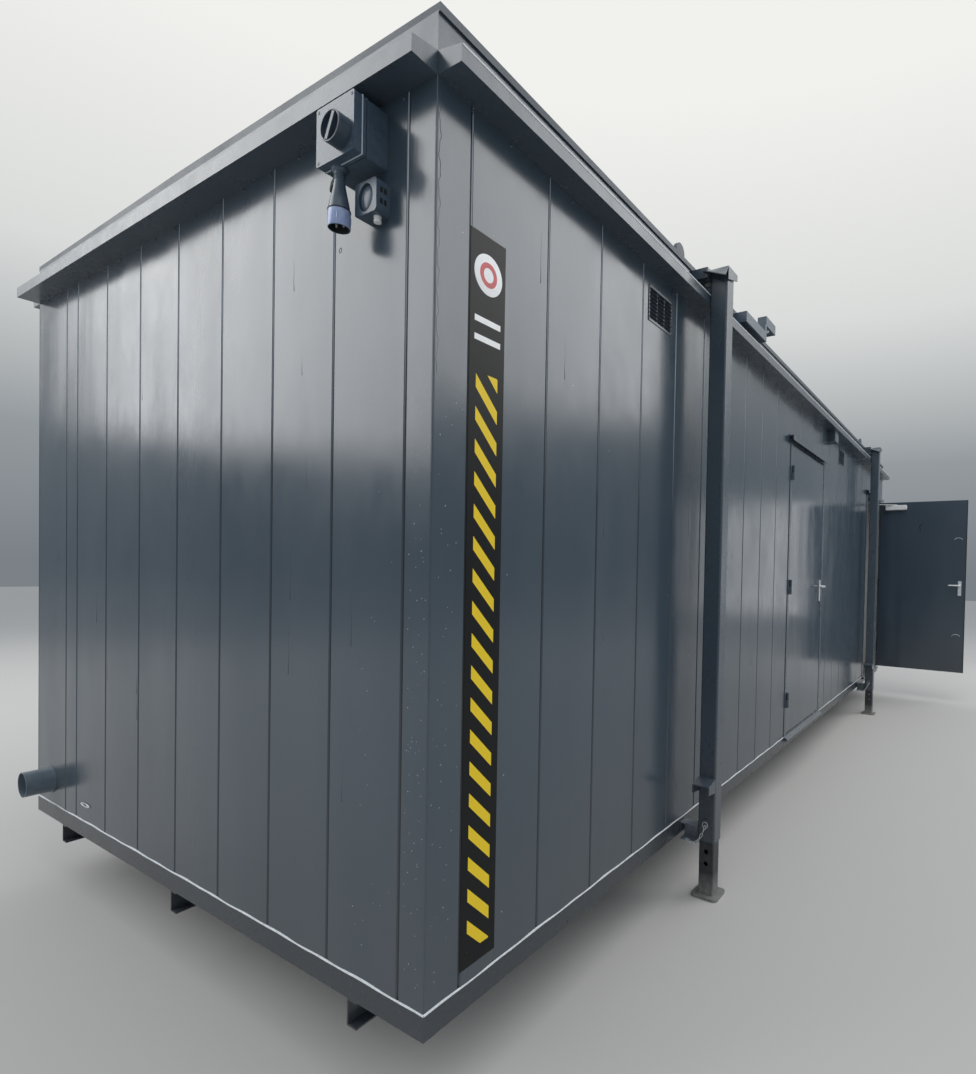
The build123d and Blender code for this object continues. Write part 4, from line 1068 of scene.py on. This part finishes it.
# %% Frame seals and threshold strips
FRAME_FACE, STOP_FRONT, SEAL_IN, SEAL_BULB = 40 * MM, 48 * MM, 7 * MM, 2.6 * MM
STOP_GAP, FRAME_WIDTH = 0.935, 1.015
SILL_REACH = 25 * MM
SILL = [(-SILL_REACH - 1.2 * MM, -18 * MM), (-SILL_REACH - 1.2 * MM, -7 * MM), (-4.4 * MM, 1.2 * MM),
        (-4.4 * MM, 0), (-SILL_REACH, -8.4 * MM), (-SILL_REACH, -18 * MM)]
seals, strips = bmesh.new(), bmesh.new()
y, foot = front + STOP_FRONT - 1.5 * MM, base_top + 18 * MM
for frame_low, frame_high in (office_frame, toilet_frame):
    jamb_left = frame_low.x + FRAME_FACE + SEAL_IN
    jamb_right = jamb_left - 14 * MM + STOP_GAP
    head = frame_high.z - FRAME_FACE - SEAL_IN
    round_stop = ((jamb_left, foot), (jamb_left, head), (jamb_right, head), (jamb_right, foot))
    add_tube(seals, [(x, y, z) for x, z in round_stop], SEAL_BULB, 8)
    add_ring_skin(strips, [[Vector((x, front + out, base_top + rise)) for out, rise in SILL]
                           for x in (frame_low.x + 2 * MM, frame_low.x + FRAME_WIDTH - 2 * MM)])
keep_piece("frame_bulb_seals", seals, rubber)
keep_piece("threshold_strips", strips, grained("worn threshold strip", "#767c81", "#9a9da0", 0.4, metal=0.5))
print("sills", 2)

# %% Marks and guards on the open leaf
GUARD_LEVELS, GUARD_IN, GUARD_ROUND, GUARD_TALL = (1.892, 0.777), 0.085, 0.040, 0.022
CRACK = [(-18, 0), (0, -14), (19, -34), (18, -58), (4, -72), (12, -100)]
CRACK_RADII = [4 * MM, 9 * MM, 8 * MM, 2.5 * MM, 8 * MM, 4 * MM]
CRACK_FLATTENED = 0.2
guards = bmesh.new()
for level in GUARD_LEVELS:
    centre = Vector((leaf_face - 1 * MM, toilet_low.y + GUARD_IN, level))
    arc = [centre + Vector((0, math.cos(t) * GUARD_ROUND, math.sin(t) * GUARD_TALL))
           for t in (math.pi * k / 12 for k in range(13))]
    add_tube(guards, arc, 2.6 * MM, 8)
keep_piece("bolt_guards", guards, chain_zinc, "toilet_door")
flake = bmesh.new()
start = Vector((leaf_face - 0.3 * MM, hinge_edge - 0.452, toilet_high.z - 0.258))
add_tube(flake, [start + Vector((0, y, z)) * MM for y, z in CRACK], CRACK_RADII, 10)
for vert in flake.verts:
    vert.co.x = start.x + (vert.co.x - start.x) * CRACK_FLATTENED
keep_piece("flaked_paint_mark", flake, black_and_painted_shade, "toilet_door")
reveal = bmesh.new()
far_jamb = toilet_frame[0].x + 0.975
add_slab(reveal, (far_jamb - 1.2 * MM, front + 4 * MM, base_top + 22 * MM),
         (far_jamb + 0.4 * MM, front + 46 * MM, toilet_frame[1].z - 42 * MM), edge=0.3 * MM)
keep_piece("toilet_door_jamb_liner", reveal, white_cover)
print("bolt guards", len(GUARD_LEVELS))

# %% [markdown]
# ## Runs, specks and small marks
# Enamel put on thickly runs in thin tears, and pale overspray has left specks beside the near corner. The
# folded rails carry a painted highlight along their outer edge, a packing block is wedged behind the near
# post, and a flat staple is left on the end wall above the sealant.

# %% Paint runs
chance = random.Random(11)
runs = bmesh.new()
for count, axis, low, high in ((16, 0, left + 0.3, left + 3.0), (14, 1, front + 0.1, back - 0.2)):
    for k in range(count):
        at = chance.uniform(low, high)
        top = chance.uniform(base_top + 0.5, wall_top - 0.15)
        long = chance.uniform(0.03, 0.16)
        path = []
        for step in range(9):
            drop = long * step / 8
            wobble = 1.2 * MM * math.sin(step * 1.3 + k)
            path.append((at + wobble, front + 0.3 * MM, top - drop) if axis == 0
                        else (left + 0.3 * MM, at + wobble, top - drop))
        add_tube(runs, path, [0.5 * MM + (0.9 * MM) * (step / 8) ** 3 for step in range(9)], 6)
LONG_RUN_TOP, LONG_RUN_STEP = 2.28, 0.012
long_run = [(left + (11 + 3 * math.sin(k * 0.9) + 2 * math.sin(k * 2.3)) * MM, front + 0.2 * MM,
             base_top + LONG_RUN_TOP - LONG_RUN_STEP * k) for k in range(58)]
add_tube(runs, long_run, 1.0 * MM, 6)
keep_piece("paint_runs", runs, wall_enamel)
print("paint runs", 31)

# %% Specks and corner folds
overspray = random.Random(12)
specks = bmesh.new()
for count, axis, low, high in ((20, 1, 0.135, 0.285), (80, 1, 0.012, 0.085), (46, 0, 0.012, 0.100)):
    facing = outwards if axis == 1 else Vector((0, -1, 0))
    for k in range(count):
        speck = Vector((left, front, base_top + overspray.uniform(0.05, 1.6)))
        speck[axis] += overspray.uniform(low, high)
        radius = overspray.uniform(0.9, 1.9)
        turned(specks, speck, facing, [(radius, -0.3), (radius, 0.2), (radius * 0.5, 0.5)], 6)
keep_piece("paint_specks", specks, grained("pale paint overspray", "#868d92", "#a3aaae", 0.4))
print("paint specks", 146)
FOLD_IN = 1.4 * MM
folds = bmesh.new()
for x in (left + FOLD_IN, right - FOLD_IN):
    for y in (front + FOLD_IN, back - FOLD_IN):
        add_tube(folds, [(x, y, base_top + 0.010), (x, y, wall_top - 0.004)], 2.2 * MM, 12)
keep_piece("corner_folds", folds, wall_enamel)

# %% Painted highlights on rail edges, packing block and staple
RAIL_REACH, RAIL_FACE = 80 * MM, 42 * MM
BLOCK_LOW, BLOCK_HIGH = (1.540, -0.076, 2.362), (1.575, -0.044, 2.432)
STAPLE_IN, STAPLE_UP = 2.08, 0.073
level = wall_top + RAIL_FACE - 1 * MM
# Pale tubes along the rails' outer top edges are a painted highlight where the edge catches the light
edge_highlight_tubes = bmesh.new()
for y in (front - RAIL_REACH + 1 * MM, back + RAIL_REACH - 1 * MM):
    add_tube(edge_highlight_tubes, [(left + 4 * MM, y, level), (right - 4 * MM, y, level)], 3.1 * MM, 8)
keep_piece("rail_worn_edges", edge_highlight_tubes, grained("painted highlight on rail edge", "#d3d8db", "#e6e9ea", 0.3))
block = bmesh.new()
add_slab(block, *((left + x, front + y, base_top + z) for x, y, z in (BLOCK_LOW, BLOCK_HIGH)), edge=2 * MM)
keep_piece("post_packing_block", block, grained("weathered packing block", "#8e8b82", "#b0ada3", 0.7))
staple = bmesh.new()
staple_at = Vector((left - 3 * MM, front + STAPLE_IN, base_top + STAPLE_UP))
loop_on(staple, staple_at, ACROSS, UP, 0.042, 0.006, 2.2 * MM)
add_slab(staple, staple_at + Vector((0, -0.030, -0.006)), staple_at + Vector((3.4 * MM, -0.012, 0.006)))
keep_piece("end_wall_staple", staple, chain_zinc)
print("rail edge highlights", 2)
